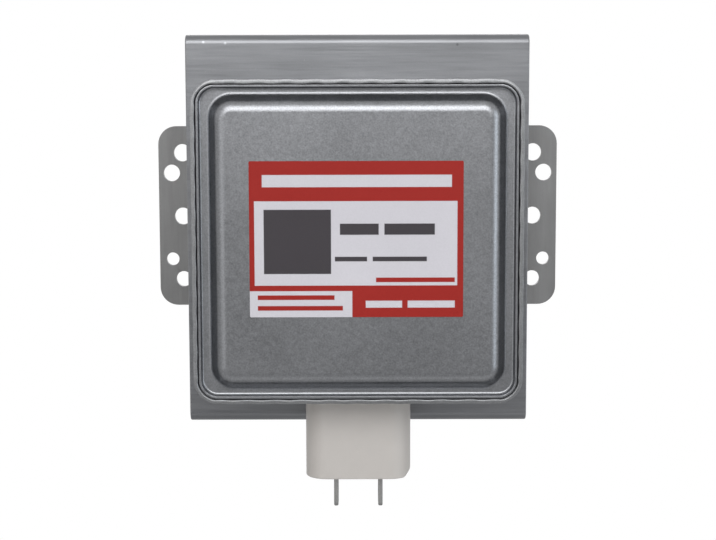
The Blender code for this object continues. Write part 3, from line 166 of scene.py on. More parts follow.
def rolled_steel(name, color, roughness, along=(1.0, 30.0, 30.0), nicks=()):
    """Plated sheet with streaks from the rolls, clouds in the plating, bright marks, nicks and
    painted light on its walls.
    """
    finish = Finish(name, color, 1.0, roughness)
    streaks = finish.noise(70.0, 4.0, 0.6, finish.stretched(along))
    bands = finish.noise(9.0, 3.0, 0.5, finish.stretched(along))
    clouds = finish.noise(60.0, 3.0)
    grain = finish.noise(5200.0, 2.0)
    marks = finish.ramp(finish.noise(420.0, 4.0, 0.7), (0.69, 0.0), (0.76, 1.0))
    level = 0.23 + 0.45 * streaks + 0.55 * bands + 0.36 * clouds + 0.2 * grain + 0.3 * marks
    # Painted light: faces turned away from the tube's axis are painted brighter.
    level = level * (1.0 + PAINTED_WALL_LIGHT * finish.walls())
    for x, z, size, change in nicks:
        side, height = finish.axis("X") - x, finish.axis("Z") - z
        apart = (side * side + height * height) / (size * size)
        level = level * (1.0 + change * finish.ramp(apart, (0.0, 1.0), (1.0, 0.0)))
    finish.set("Base Color", finish.shaded(level))
    finish.set("Roughness", roughness - 0.12 + 0.2 * streaks + 0.08 * grain)
    finish.bump(streaks * 0.7 + grain * 0.3, 0.00002)
    return finish


def pick(kind, test):
    """In edit mode, select what passes the test on its lowest and highest corner."""
    bpy.ops.mesh.select_mode(type=kind)
    bpy.ops.mesh.select_all(action="DESELECT")
    mesh = bmesh.from_edit_mesh(bpy.context.object.data)
    for item in mesh.edges if kind == "EDGE" else mesh.faces:
        places = [vert.co for vert in item.verts]
        low = Vector([min(place[axis] for place in places) for axis in range(3)])
        high = Vector([max(place[axis] for place in places) for axis in range(3)])
        if test(low, high):
            item.select_set(True)
    bmesh.update_edit_mesh(bpy.context.object.data)


def near(value, other):
    return abs(value - other) < 0.00001


def start_block(name, low, high):
    """A block between two corners, in edit mode."""
    bpy.ops.object.select_all(action="DESELECT")
    middle = [(a + b) / 2 for a, b in zip(low, high)]
    bpy.ops.mesh.primitive_cube_add(size=1, location=middle)
    block = bpy.context.object
    block.name = block.data.name = name
    block.scale = [b - a for a, b in zip(low, high)]
    bpy.ops.object.transform_apply(location=True, rotation=True, scale=True)
    bpy.ops.object.mode_set(mode="EDIT")
    return block


def modify(piece, kind, **settings):
    """Apply one modifier to the piece."""
    bpy.context.view_layer.objects.active = piece
    modifier = piece.modifiers.new(kind.title(), kind)
    for name, value in settings.items():
        setattr(modifier, name, value)
    bpy.ops.object.modifier_apply(modifier=modifier.name)


def soften(piece, width, segments=2, angle=35):
    """Round the piece's sharp edges and shade the rest smooth."""
    modify(piece, "BEVEL", width=width, segments=segments, limit_method="ANGLE",
           angle_limit=math.radians(angle))
    bpy.ops.object.select_all(action="DESELECT")
    piece.select_set(True)
    bpy.context.view_layer.objects.active = piece
    bpy.ops.object.shade_smooth_by_angle(angle=math.radians(angle))
    modify(piece, "WEIGHTED_NORMAL", keep_sharp=True, weight=100)


def cut(piece, tool):
    """Take the tool's shape out of the piece."""
    modify(piece, "BOOLEAN", operation="DIFFERENCE", solver="EXACT", object=tool)
    bpy.data.objects.remove(tool, do_unlink=True)


def punch(centre, radius, length, axis="Y", steps=48):
    """A round punch through a sheet, as a tool for cut."""
    bpy.ops.object.select_all(action="DESELECT")
    turn = {"X": (0, math.pi / 2, 0), "Y": (math.pi / 2, 0, 0)}[axis]
    bpy.ops.mesh.primitive_cylinder_add(vertices=steps, radius=radius, depth=length,
                                        location=centre, rotation=turn)
    tool = bpy.context.object
    bpy.ops.object.transform_apply(location=True, rotation=True, scale=True)
    return tool


def fit(piece, finish, node):
    """The piece gets its finish, rides on the part and stands for its CAD node."""
    # Each face's share of wall, which the sheet finishes use to paint light on the walls.
    wall = piece.data.attributes.new("wall", "FLOAT", "FACE")
    wall.data.foreach_set("value", [1 - abs(face.normal.y) for face in piece.data.polygons])
    piece.data.materials.clear()
    piece.data.materials.append(finish.material)
    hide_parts(node)
    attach(piece, "root")


def dress(node, finish):
    """A CAD node keeps its shape and gets the finish."""
    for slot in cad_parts[node].material_slots:
        slot.material = finish.material


YOKE_SIDE = 0.041
YOKE_TOP = 0.04675
YOKE_BASE = -0.056
YOKE_SHEET = 0.0014
YOKE_BEND = 0.0023
YOKE_ROUND = 0.0003
LEG_END = -0.0019
STAKE_END = -0.0003
STAKE_WIDTH = 0.01
STAKE_SIDES = (-0.029, -0.019, 0.019, 0.029)
STEM_HOLE = 0.0102
PUNCH_LENGTH = 0.006
NICKS = ((-0.0366, 0.0449, 0.0004, 0.7), (-0.0314, 0.0446, 0.0004, 0.7),
         (0.0238, 0.0442, 0.0004, -0.4))

yoke_steel = rolled_steel("zinc_plated_strip", (0.149, 0.152, 0.159), 0.37, nicks=NICKS)
yoke = start_block("yoke", (-YOKE_SIDE, YOKE_BASE, -YOKE_TOP), (YOKE_SIDE, LEG_END, YOKE_TOP))
pick("FACE", lambda low, high: near(abs(low.x + high.x), 2 * YOKE_SIDE) or near(low.y, LEG_END))
bpy.ops.mesh.delete(type="FACE")
pick("EDGE", lambda low, high: near(high.y, YOKE_BASE) and near(high.x - low.x, 2 * YOKE_SIDE))
bpy.ops.mesh.bevel(offset=YOKE_BEND, segments=8, affect="EDGES")
for side in STAKE_SIDES:
    bpy.ops.mesh.select_all(action="SELECT")
    bpy.ops.mesh.bisect(plane_co=(side, 0, 0), plane_no=(1, 0, 0))
pick("EDGE", lambda low, high: near(low.y, LEG_END) and near(high.x - low.x, STAKE_WIDTH))
bpy.ops.mesh.extrude_edges_move(TRANSFORM_OT_translate={"value": (0, STAKE_END - LEG_END, 0)})
bpy.ops.object.mode_set(mode="OBJECT")
modify(yoke, "SOLIDIFY", thickness=YOKE_SHEET, offset=-1, use_even_offset=True)
cut(yoke, punch((0, YOKE_BASE, 0), STEM_HOLE, PUNCH_LENGTH))
soften(yoke, YOKE_ROUND, 3)
fit(yoke, yoke_steel, "yoke_frame")


# Mounting plate
# Flat zinc-plated steel, 1.6 mm thick and duller than the yoke, blanked with an ear on each
# side. The ears' holes take the screws that hold the tube to the oven.
PLATE_SHEET = 0.0016
PLATE_ROUND = 0.00018
PLATE_CORNER = 0.0008
EAR_SIDE = 0.0553
EAR_TOP = 0.02495
EAR_CORNER = 0.005
EAR_ROOT = 0.0015
EAR_HOLES = ((0.0487, 0.0176, 0.0024), (0.0517, 0.0120, 0.0023), (0.0487, 0.0, 0.00235),
             (0.0517, -0.0120, 0.0018), (0.0487, -0.0176, 0.00215))
NOTCH_SIDE = 0.024
NOTCH_HALF = 0.0053
NOTCH_DEPTHS = (-0.004, 0.002)
NOTCH_HEIGHTS = (0.04505, 0.0495)

plate_steel = rolled_steel("plain_plate_steel", (0.175, 0.175, 0.175), 0.5, (12.0, 12.0, 1.0))
plate = start_block("mounting_sheet", (-YOKE_SIDE, -PLATE_SHEET, -YOKE_TOP),
                    (YOKE_SIDE, 0, YOKE_TOP))
for height in (-EAR_TOP, EAR_TOP):
    bpy.ops.mesh.select_all(action="SELECT")
    bpy.ops.mesh.bisect(plane_co=(0, 0, height), plane_no=(0, 0, 1))
for hand in (-1, 1):
    pick("FACE", lambda low, high: near(low.x, hand * YOKE_SIDE) and near(high.x, hand * YOKE_SIDE)
         and near(high.z, EAR_TOP))
    reach = (hand * (EAR_SIDE - YOKE_SIDE), 0, 0)
    bpy.ops.mesh.extrude_region_move(TRANSFORM_OT_translate={"value": reach})
for side, top, radius in ((EAR_SIDE, EAR_TOP, EAR_CORNER), (YOKE_SIDE, EAR_TOP, EAR_ROOT),
                          (YOKE_SIDE, YOKE_TOP, PLATE_CORNER)):
    pick("EDGE", lambda low, high: near(high.y - low.y, PLATE_SHEET) and near(abs(low.x), side)
         and near(abs(low.z), top))
    bpy.ops.mesh.bevel(offset=radius, segments=10, affect="EDGES")
bpy.ops.object.mode_set(mode="OBJECT")
for x, z, radius in EAR_HOLES:
    for hand in (-1, 1):
        cut(plate, punch((hand * x, 0, z), radius, PUNCH_LENGTH))
cut(plate, punch((0, 0, 0), STEM_HOLE, PUNCH_LENGTH, steps=96))
for hand in (-1, 1):
    for x in (-NOTCH_SIDE, NOTCH_SIDE):
        low, high = sorted(hand * height for height in NOTCH_HEIGHTS)
        notch = start_block("notch", (x - NOTCH_HALF, NOTCH_DEPTHS[0], low),
                            (x + NOTCH_HALF, NOTCH_DEPTHS[1], high))
        bpy.ops.object.mode_set(mode="OBJECT")
        cut(plate, notch)
soften(plate, PLATE_ROUND)
fit(plate, plate_steel, "mounting_plate")


# Filter box
# Drawn from 0.5 mm galvanised sheet, open to the front. Its rim is flared and crimped into
# small waves that grip the lid, and its floor is riveted to the yoke by four eyelets.
def start_outline(width, height, radius, place):
    """A flat sheet with round corners, selected in edit mode, square to the tube's axis."""
    if bpy.context.mode == "OBJECT":
        bpy.ops.object.select_all(action="DESELECT")
    bpy.ops.mesh.primitive_plane_add(size=1, location=(0, place, 0), rotation=(math.pi / 2, 0, 0))
    if bpy.context.mode == "OBJECT":
        bpy.ops.object.transform_apply(location=True, rotation=True, scale=True)
        bpy.ops.object.mode_set(mode="EDIT")
        bpy.ops.mesh.select_all(action="SELECT")
    bpy.ops.transform.resize(value=(width, 1, height), center_override=(0, place, 0))
    bpy.ops.mesh.select_mode(type="VERT")
    bpy.ops.mesh.bevel(offset=radius, segments=CORNER_STEPS, affect="VERTICES")
    bpy.ops.mesh.select_mode(type="FACE")
    return bpy.context.object


def push(distance):
    """Move the selected face along the tube's axis and leave a wall behind it."""
    bpy.ops.mesh.extrude_region_move(TRANSFORM_OT_translate={"value": (0, distance, 0)})


def turn_in(radius, start, end, steps=5):
    """Inset the selected face round an arc. Angles are of the sheet's slope, in degrees."""
    for step in range(steps):
        first = math.radians(start + (end - start) * step / steps)
        last = math.radians(start + (end - start) * (step + 1) / steps)
        inward = abs(radius * (math.sin(last) - math.sin(first)))
        rise = abs(radius * (math.cos(last) - math.cos(first)))
        bpy.ops.mesh.inset(thickness=inward, depth=math.copysign(rise, radius))


def open_front(place):
    """Delete the face that the first push left behind at the outline."""
    pick("FACE", lambda low, high: near(low.y, place) and near(high.y, place))
    bpy.ops.mesh.delete(type="FACE")


CORNER_STEPS = 10
SHEET_ANGLE = 50
BOX_SHEET = 0.0005
BOX_INNER = (0.0693, 0.0679)
BOX_CORNER = 0.0045
BOX_RIM = -0.0940
BOX_FLOOR = -0.0568
FLOOR_BEND = 0.0015
RIM_LENGTH = 0.0012
RIM_SLICES = 6
RIM_FLARE = 0.00002
RIM_CORNER_FLARE = 0.0003
RIM_SWELL = 0.0005
RIM_WAVE = 0.00013
RIM_ROUND = 0.00024
WAVES = 10
POINTS_PER_WAVE = 8


def galvanised_steel(name, color, roughness):
    """Thin galvanised sheet: a fine speckle of zinc grains over slow clouds, with painted light on
    its walls.
    """
    finish = Finish(name, color, 1.0, roughness)
    speckle = finish.grains(1500.0)
    fine = finish.noise(2800.0, 2.0)
    clouds = finish.noise(45.0, 4.0, 0.6)
    level = 0.52 + 0.08 * speckle + 0.7 * fine + 0.16 * clouds
    # Painted light: faces turned away from the tube's axis are painted brighter.
    finish.set("Base Color", finish.shaded(level * (1.0 + PAINTED_WALL_LIGHT * finish.walls())))
    finish.set("Roughness", roughness - 0.08 + 0.04 * speckle + 0.12 * clouds)
    finish.bump(speckle * 0.3 + fine * 0.7, 0.00001)
    return finish


box_steel = galvanised_steel("galvanised_box_sheet", (0.19, 0.193, 0.198), 0.4)
box = start_outline(*BOX_INNER, BOX_CORNER, BOX_RIM)
box.name = box.data.name = "drawn_box"
pick("EDGE", lambda low, high: max(high.x - low.x, high.z - low.z) > BOX_INNER[1] / 2)
bpy.ops.mesh.subdivide(number_cuts=WAVES * POINTS_PER_WAVE - 1)
pick("FACE", lambda low, high: True)
for _ in range(RIM_SLICES):
    push(RIM_LENGTH / RIM_SLICES)
push(BOX_FLOOR - FLOOR_BEND - BOX_RIM - RIM_LENGTH)
turn_in(-FLOOR_BEND, 90, 0)
open_front(BOX_RIM)
bpy.ops.object.mode_set(mode="OBJECT")
straight_x, straight_z = BOX_INNER[0] / 2 - BOX_CORNER, BOX_INNER[1] / 2 - BOX_CORNER
for vert in box.data.vertices:
    share = max(0.0, 1 - (vert.co.y - BOX_RIM) / RIM_LENGTH)
    past_x = max(0.0, abs(vert.co.x) - straight_x) / BOX_CORNER
    past_z = max(0.0, abs(vert.co.z) - straight_z) / BOX_CORNER
    if share <= 0.0 or max(past_x, past_z) < 0.5:
        continue
    reach = RIM_FLARE * share * share
    if past_x > 0.0 and past_z > 0.0:
        reach += RIM_CORNER_FLARE * share * share * min(1.0, 4 * past_x * past_z)
    else:
        along = vert.co.z / straight_z if past_x > 0.0 else vert.co.x / straight_x
        reach += RIM_WAVE * share * (1 - math.cos(math.pi * WAVES * (along + 1))) / 2
    vert.co.x += math.copysign(reach * past_x, vert.co.x)
    vert.co.z += math.copysign(reach * past_z, vert.co.z)
inner_count = len(box.data.vertices)
modify(box, "SOLIDIFY", thickness=BOX_SHEET, offset=-1, use_even_offset=True)
for vert in box.data.vertices[inner_count:]:
    share = max(0.0, 1 - (vert.co.y - BOX_RIM) / RIM_LENGTH)
    past_x = max(0.0, abs(vert.co.x) - straight_x)
    past_z = max(0.0, abs(vert.co.z) - straight_z)
    past = Vector((past_x, 0, past_z))
    if share > 0.0 and past.length > 0.0:
        swell = RIM_SWELL * share * share * past.normalized()
        vert.co.x += math.copysign(swell.x, vert.co.x)
        vert.co.z += math.copysign(swell.z, vert.co.z)
soften(box, RIM_ROUND, 3, SHEET_ANGLE)
fit(box, box_steel, "filter_box")


# Lid
# A pan drawn from the same sheet and pressed into the box. The cut edge stands just inside
# the rim, a moat runs round, and the raised panel in the middle has a generous round edge.
LID_SHEET = 0.0005
LID_EDGE = -0.0935
LID_OUTLINE = (0.0680, 0.0667)
LID_CORNER = 0.00355
MOAT_FLOOR = -0.0917
MOAT_BEND = 0.0011
MOAT_OUTER_BEND = 0.0006
PANEL_FOOT = (0.0649, 0.0647)
PANEL_CORNER = 0.0055
PANEL_RISE = 0.0027
PANEL_SLOPE = 50
PANEL_EDGE = 0.0034
LID_ROUND = 0.00008

lid_steel = galvanised_steel("galvanised_lid_sheet", (0.189, 0.193, 0.202), 0.33)
lid = start_outline(*LID_OUTLINE, LID_CORNER, LID_EDGE)
lid.name = lid.data.name = "drawn_lid"
push(MOAT_FLOOR - MOAT_OUTER_BEND - LID_EDGE)
turn_in(-MOAT_OUTER_BEND, 90, 0)
bpy.ops.mesh.delete(type="ONLY_FACE")
start_outline(*PANEL_FOOT, PANEL_CORNER, MOAT_FLOOR)
turn_in(MOAT_BEND, 0, PANEL_SLOPE)
slope = math.radians(PANEL_SLOPE)
wall = PANEL_RISE - (MOAT_BEND + PANEL_EDGE) * (1 - math.cos(slope))
bpy.ops.mesh.inset(thickness=wall / math.tan(slope), depth=wall)
turn_in(PANEL_EDGE, PANEL_SLOPE, 0, 8)
open_front(LID_EDGE)
pick("EDGE", lambda low, high: near(low.y, MOAT_FLOOR) and near(high.y, MOAT_FLOOR))
bpy.ops.mesh.bridge_edge_loops()
bpy.ops.object.mode_set(mode="OBJECT")
modify(lid, "SOLIDIFY", thickness=LID_SHEET, offset=-1, use_even_offset=True)
soften(lid, LID_ROUND, 2, SHEET_ANGLE)
fit(lid, lid_steel, "filter_lid")


# Label
# A printed film, 0.1 mm thick, stuck to the panel. It has a red header, a white field with a
# red border and one dark square, a white and a red field below, and plain bars in them all.
LABEL_LOW = (-0.0232, -0.0946, -0.01585)
LABEL_HIGH = (0.0226, -0.0945, 0.01765)
LABEL_CORNER = 0.0003
LABEL_ROUND = 0.00003
INK_BLUR = 0.00006
LABEL_RED = (0.27, 0.017, 0.013)
LABEL_WHITE = (0.51, 0.497, 0.53)
LABEL_DARK = (0.045, 0.04, 0.045)
RED_FIELDS = ((-0.0240, 0.0240, 0.0091, 0.0180), (-0.0240, -0.0221, -0.0093, 0.0094),
              (0.0213, 0.0240, -0.0093, 0.0094), (-0.0240, 0.0240, -0.0102, -0.0090),
              (-0.0012, 0.0240, -0.0170, -0.0099))
WHITE_BARS = ((-0.0204, 0.0201, 0.0121, 0.0147), (0.0017, 0.0095, -0.0138, -0.0123),
              (0.0107, 0.0208, -0.0138, -0.0123))
DARK_BARS = ((-0.0038, 0.0045, 0.0019, 0.0043), (0.0057, 0.0165, 0.0019, 0.0043),
             (-0.0049, 0.0020, -0.0038, -0.0028), (0.0032, 0.0148, -0.0038, -0.0028),
             (-0.0201, -0.0057, -0.0065, 0.0073))
RED_BARS = ((0.0039, 0.0208, -0.0083, -0.0073), (-0.0215, -0.0050, -0.0121, -0.0111),
            (-0.0215, -0.0032, -0.0144, -0.0134))


def inside(finish, across, up, field):
    """1 inside a field of (left, right, low, high) and 0 outside, with a soft printed edge."""
    left, right, low, high = field
    over_x = abs(across - (left + right) / 2) - (right - left) / 2
    over_z = abs(up - (low + high) / 2) - (high - low) / 2
    over = finish.add("Math", {"operation": "MAXIMUM"}, {0: over_x, 1: over_z})
    return finish.ramp(0.5 - over / (2 * INK_BLUR), (0.0, 0.0), (1.0, 1.0))


film = Finish("printed_film", LABEL_WHITE, 0.0, 0.42)
across, up = film.axis("X"), film.axis("Z")
print_color = LABEL_WHITE
for fields, ink in ((RED_FIELDS, LABEL_RED), (WHITE_BARS, LABEL_WHITE),
                    (DARK_BARS, LABEL_DARK), (RED_BARS, LABEL_RED)):
    for field in fields:
        print_color = film.mix(inside(film, across, up, field), print_color, ink)
dots = film.noise(3800.0, 2.0)
cloud = film.noise(55.0, 3.0)
film.set("Base Color", film.shaded(0.88 + 0.12 * dots + 0.12 * cloud, print_color))
film.set("Roughness", 0.36 + 0.12 * cloud)
film.set("Specular IOR Level", 0.15)
film.bump(film.noise(900.0, 3.0), 0.000015)
label = start_block("printed_label", LABEL_LOW, LABEL_HIGH)
pick("EDGE", lambda low, high: near(high.y - low.y, LABEL_HIGH[1] - LABEL_LOW[1]))
bpy.ops.mesh.bevel(offset=LABEL_CORNER, segments=4, affect="EDGES")
bpy.ops.object.mode_set(mode="OBJECT")
soften(label, LABEL_ROUND, 2)
fit(label, film, "lid_label")


# Capacitor
# Two feed-through capacitors in a white moulded case. Its steel flange is riveted under the
# box's lower wall, and each conductor ends in a flat push-on tab of tinned brass.
def lathe(name, profile, centre=(0.0, 0.0, 0.0), axis="Y", steps=96):
    """Spin a profile of (radius, height) points, drawn one point after the other."""
    bpy.ops.object.select_all(action="DESELECT")
    bpy.ops.mesh.primitive_plane_add(size=0.01, location=(0, 0, 0))
    piece = bpy.context.object
    piece.name = piece.data.name = name
    bpy.ops.object.mode_set(mode="EDIT")
    bpy.ops.mesh.select_mode(type="VERT")
    bpy.ops.mesh.select_all(action="SELECT")
    bpy.ops.mesh.merge(type="CENTER")
    heights = {"Y": (0, 1, 0), "Z": (0, 0, 1)}[axis]
    here = (0.0, 0.0)
    for index, (radius, height) in enumerate(profile):
        move = [radius - here[0], *[(height - here[1]) * part for part in heights[1:]]]
        here = (radius, height)
        if index == 0:
            bpy.ops.transform.translate(value=move)
        else:
            bpy.ops.mesh.extrude_vertices_move(TRANSFORM_OT_translate={"value": move})
    if profile[0][0] > 0.0:
        bpy.ops.mesh.select_all(action="SELECT")
        bpy.ops.mesh.edge_face_add()
        bpy.ops.mesh.delete(type="ONLY_FACE")
    bpy.ops.mesh.select_all(action="SELECT")
    bpy.ops.mesh.spin(steps=steps, angle=math.tau, center=(0, 0, 0), axis=heights,
                      use_auto_merge=True)
    bpy.ops.mesh.select_all(action="SELECT")
    bpy.ops.mesh.remove_doubles(threshold=0.000002)
    bpy.ops.mesh.normals_make_consistent(inside=False)
    bpy.ops.transform.translate(value=centre)
    bpy.ops.object.mode_set(mode="OBJECT")
    return piece


CAPACITOR_Y = -0.0750
FLANGE_HALF = (0.01725, 0.01225)
FLANGE_HEIGHTS = (-0.03555, -0.03475)
FLANGE_CORNER = 0.003
RIVET_X, RIVET_Y = 0.0144, 0.0094
RIVET_RADIUS = 0.0025
RIVET_RISE = 0.0006
RIVET_TOP = -0.03585
HOUSING_HALF = (0.0119, 0.008)
HOUSING_HEIGHTS = (-0.05445, -0.03585)
HOUSING_CORNER = 0.005
HOUSING_KEY = 0.0104
HOUSING_ROUND = 0.0008
SLOT_HALF = (0.0007, 0.00345)
SLOT_HEIGHTS = (-0.05545, -0.05295)
TAB_X = 0.005075
TAB_HALF = (0.0005, 0.00315)
TAB_HEIGHTS = (-0.06205, -0.0515)
TAB_CORNER = 0.0012
TAB_ROUND = 0.0003
TAB_HOLE = 0.0008
TAB_HOLE_RISE = 0.0034


def start_upright(name, half, heights, x=0.0):
    """A block of the capacitor's row, in edit mode, from half its width and depth."""
    return start_block(name, (x - half[0], CAPACITOR_Y - half[1], heights[0]),
                       (x + half[0], CAPACITOR_Y + half[1], heights[1]))


flange = start_upright("capacitor_flange_sheet", FLANGE_HALF, FLANGE_HEIGHTS)
pick("EDGE", lambda low, high: near(low.z, FLANGE_HEIGHTS[0]) and near(high.z, FLANGE_HEIGHTS[1]))
bpy.ops.mesh.bevel(offset=FLANGE_CORNER, segments=8, affect="EDGES")
bpy.ops.object.mode_set(mode="OBJECT")
soften(flange, 0.0001)
fit(flange, box_steel, "capacitor_flange")

rivet_steel = Finish("bright_rivet_steel", (0.26, 0.26, 0.265), 1.0, 0.28)
smudge = rivet_steel.noise(500.0, 4.0)
rivet_steel.set("Roughness", 0.2 + 0.22 * smudge)
rivet_steel.set("Base Color", rivet_steel.shaded(0.85 + 0.3 * smudge))
dome = [(RIVET_RADIUS * math.sin(math.radians(angle)), -RIVET_RISE * math.cos(math.radians(angle)))
        for angle in range(0, 91, 15)]
for number, (x, y) in enumerate(((-RIVET_X, -RIVET_Y), (-RIVET_X, RIVET_Y),
                                 (RIVET_X, -RIVET_Y), (RIVET_X, RIVET_Y)), 1):
    rivet = lathe(f"rivet_head_{number}", dome + [(0.0, 0.0)],
                  (x, CAPACITOR_Y + y, RIVET_TOP), "Z", 32)
    soften(rivet, 0.00005, 1)
    fit(rivet, rivet_steel, f"flange_rivet_{number}")

case_plastic = Finish("white_moulding", (0.425, 0.40, 0.378), 0.0, 0.42)
mottle = case_plastic.noise(240.0, 4.0, 0.6)
case_plastic.set("Base Color", case_plastic.shaded(0.96 + 0.08 * mottle))
case_plastic.set("Roughness", 0.34 + 0.16 * mottle)
case_plastic.bump(case_plastic.noise(2600.0, 3.0), 0.00002)
housing = start_upright("capacitor_case", HOUSING_HALF, HOUSING_HEIGHTS)
pick("EDGE", lambda low, high: near(low.z, HOUSING_HEIGHTS[0]) and near(high.z, HOUSING_HEIGHTS[1]))
bpy.ops.mesh.bevel(offset=HOUSING_CORNER, segments=12, affect="EDGES")
bpy.ops.mesh.select_all(action="SELECT")
bpy.ops.mesh.bisect(plane_co=(HOUSING_KEY, 0, HOUSING_HEIGHTS[0]), plane_no=(0.7, 0, -0.7),
                    clear_outer=True, use_fill=True)
bpy.ops.object.mode_set(mode="OBJECT")
modify(housing, "BEVEL", width=HOUSING_ROUND, segments=4, limit_method="ANGLE",
       angle_limit=math.radians(40))
for hand in (-1, 1):
    slot = start_upright("tab_slot", SLOT_HALF, SLOT_HEIGHTS, hand * TAB_X)
    bpy.ops.object.mode_set(mode="OBJECT")
    cut(housing, slot)
soften(housing, 0.0001, 2, SHEET_ANGLE)
fit(housing, case_plastic, "capacitor_housing")

tinned = Finish("tinned_brass", (0.27, 0.268, 0.264), 1.0, 0.38)
drag = tinned.noise(300.0, 4.0, 0.6, tinned.stretched((1.0, 9.0, 1.0)))
tinned.set("Base Color", tinned.shaded(0.7 + 0.5 * drag))
tinned.set("Roughness", 0.26 + 0.28 * drag)
tinned.bump(drag, 0.00002)
for side, hand in (("left", -1), ("right", 1)):
    tab = start_upright(f"push_on_tab_{side}", TAB_HALF, TAB_HEIGHTS, hand * TAB_X)
    pick("EDGE", lambda low, high: near(high.z, TAB_HEIGHTS[0]) and near(high.y, low.y))
    bpy.ops.mesh.bevel(offset=TAB_CORNER, segments=5, affect="EDGES")
    bpy.ops.object.mode_set(mode="OBJECT")
    hole = (hand * TAB_X, CAPACITOR_Y, TAB_HEIGHTS[0] + TAB_HOLE_RISE)
    cut(tab, punch(hole, TAB_HOLE, 0.003, "X", 32))
    soften(tab, TAB_ROUND, 4)
    fit(tab, tinned, f"terminal_tab_{side}")


# Magnets
# Two sintered ferrite rings, dark grey and matt, held by their own pull: one against the
# yoke's base and one against the mounting plate.
MAGNET_RADIUS = 0.028
MAGNET_BORE = 0.01025
MAGNET_CHAMFER = 0.0008
TURNED_ANGLE = 25
MAGNETS = {"magnet_input": (-0.0543, -0.0413), "magnet_output": (-0.0149, -0.0019)}

ferrite = Finish("sintered_ferrite", (0.062, 0.062, 0.066), 0.0, 0.62)
grit = ferrite.noise(3000.0, 3.0, 0.6)
dust = ferrite.ramp(ferrite.noise(160.0, 5.0, 0.65), (0.5, 0.0), (0.75, 1.0))
chips = ferrite.grains(700.0, "Distance")
ferrite.set("Base Color", ferrite.shaded(0.75 + 0.4 * grit + 0.6 * dust))
ferrite.set("Roughness", 0.5 + 0.2 * grit + 0.1 * dust)
ferrite.bump(grit * 0.6 + chips * 0.4, 0.00006)
for node, (low, high) in MAGNETS.items():
    face = MAGNET_RADIUS - MAGNET_CHAMFER
    ring = lathe(f"{node}_ring", [
        (MAGNET_BORE, low), (face, low), (MAGNET_RADIUS, low + MAGNET_CHAMFER),
        (MAGNET_RADIUS, high - MAGNET_CHAMFER), (face, high), (MAGNET_BORE, high)])
    soften(ring, 0.00015, 2, TURNED_ANGLE)
    fit(ring, ferrite, node)


# Anode and fins
# The tube's copper body, with six thin aluminium fins pressed over it. Each fin has a drawn
# collar and a lip that presses against each leg of the yoke.
ANODE_RADIUS = 0.0195
ANODE_BORE = 0.0175
ANODE_ENDS = (-0.0401, -0.0161)
RECESS_RADIUS = 0.0182
RECESS_DEPTH = 0.0022

copper = Finish("bare_copper", (0.42, 0.2, 0.12), 1.0, 0.36)
stain = copper.ramp(copper.noise(120.0, 5.0, 0.6), (0.35, 0.0), (0.8, 1.0))
turning = copper.noise(90.0, 3.0, 0.5, copper.stretched((1.0, 25.0, 1.0)))
copper.set("Base Color", copper.shaded(0.72 + 0.3 * turning - 0.18 * stain))
copper.set("Roughness", 0.24 + 0.2 * turning + 0.2 * stain)
copper.bump(turning, 0.00003)
low, high = ANODE_ENDS
body = lathe("anode_body", [
    (RECESS_RADIUS, low), (ANODE_RADIUS, low), (ANODE_RADIUS, high), (RECESS_RADIUS, high),
    (RECESS_RADIUS, high - RECESS_DEPTH), (ANODE_BORE, high - RECESS_DEPTH),
    (ANODE_BORE, low + RECESS_DEPTH), (RECESS_RADIUS, low + RECESS_DEPTH)])
soften(body, 0.00015, 2, TURNED_ANGLE)
fit(body, copper, "anode_cylinder")

fin_sheet = Finish("rolled_aluminium", (0.36, 0.365, 0.37), 1.0, 0.36)
rolling = fin_sheet.noise(60.0, 4.0, 0.6, fin_sheet.stretched((1.0, 30.0, 30.0)))
haze = fin_sheet.noise(70.0, 3.0)
fin_sheet.set("Base Color", fin_sheet.shaded(0.78 + 0.28 * rolling + 0.14 * haze))
fin_sheet.set("Roughness", 0.26 + 0.2 * rolling + 0.08 * haze)
fin_sheet.bump(rolling, 0.00002)
for number in range(1, 7):
    dress(f"cooling_fin_{number}", fin_sheet)


# Output
# The antenna's way out through the plate: a nickel-iron sleeve, an alumina ring, a drawn
# stainless cap and, round the foot, a gasket knitted from fine wire.
SLEEVE_RADIUS = 0.009
SLEEVE_SHEET = 0.0006
SLEEVE_FLANGE = 0.0188
SLEEVE_FOOT = -0.0158
SLEEVE_SHOULDER = 0.0034
SLEEVE_TIP = 0.0066
CERAMIC_RADIUS = 0.0073
CERAMIC_BORE = 0.0052
CERAMIC_ENDS = (0.0069, 0.0143)
CAP_SHEET = 0.0005
CAP_RADIUS = 0.0078
CAP_ENDS = (0.0146, 0.0224)
CAP_EDGE = 0.0016
CAP_INNER_EDGE = (0.0010, 0.0009)
GASKET_RADIUS = 0.0121
GASKET_PLACE = 0.0021
GASKET_HALF = (0.0027, 0.0017)
WIRES_ROUND = 120.0
WIRES_ACROSS = 9.0

nickel = Finish("nickel_plate", (0.31, 0.295, 0.27), 1.0, 0.32)
worn = nickel.noise(350.0, 4.0, 0.6)
nickel.set("Base Color", nickel.shaded(0.82 + 0.34 * worn))
nickel.set("Roughness", 0.22 + 0.26 * worn)
nickel.bump(worn, 0.00001)
sleeve = lathe("output_cone", [
    (SLEEVE_FLANGE, SLEEVE_FOOT), (SLEEVE_FLANGE, SLEEVE_FOOT + SLEEVE_SHEET),
    (SLEEVE_RADIUS, SLEEVE_FOOT + SLEEVE_SHEET), (SLEEVE_RADIUS, SLEEVE_SHOULDER),
    (CERAMIC_RADIUS, SLEEVE_TIP), (CERAMIC_RADIUS - SLEEVE_SHEET, SLEEVE_TIP),
    (SLEEVE_RADIUS - SLEEVE_SHEET, SLEEVE_SHOULDER), (SLEEVE_RADIUS - SLEEVE_SHEET, SLEEVE_FOOT)])
soften(sleeve, 0.00012, 2, 20)
fit(sleeve, nickel, "output_sleeve")

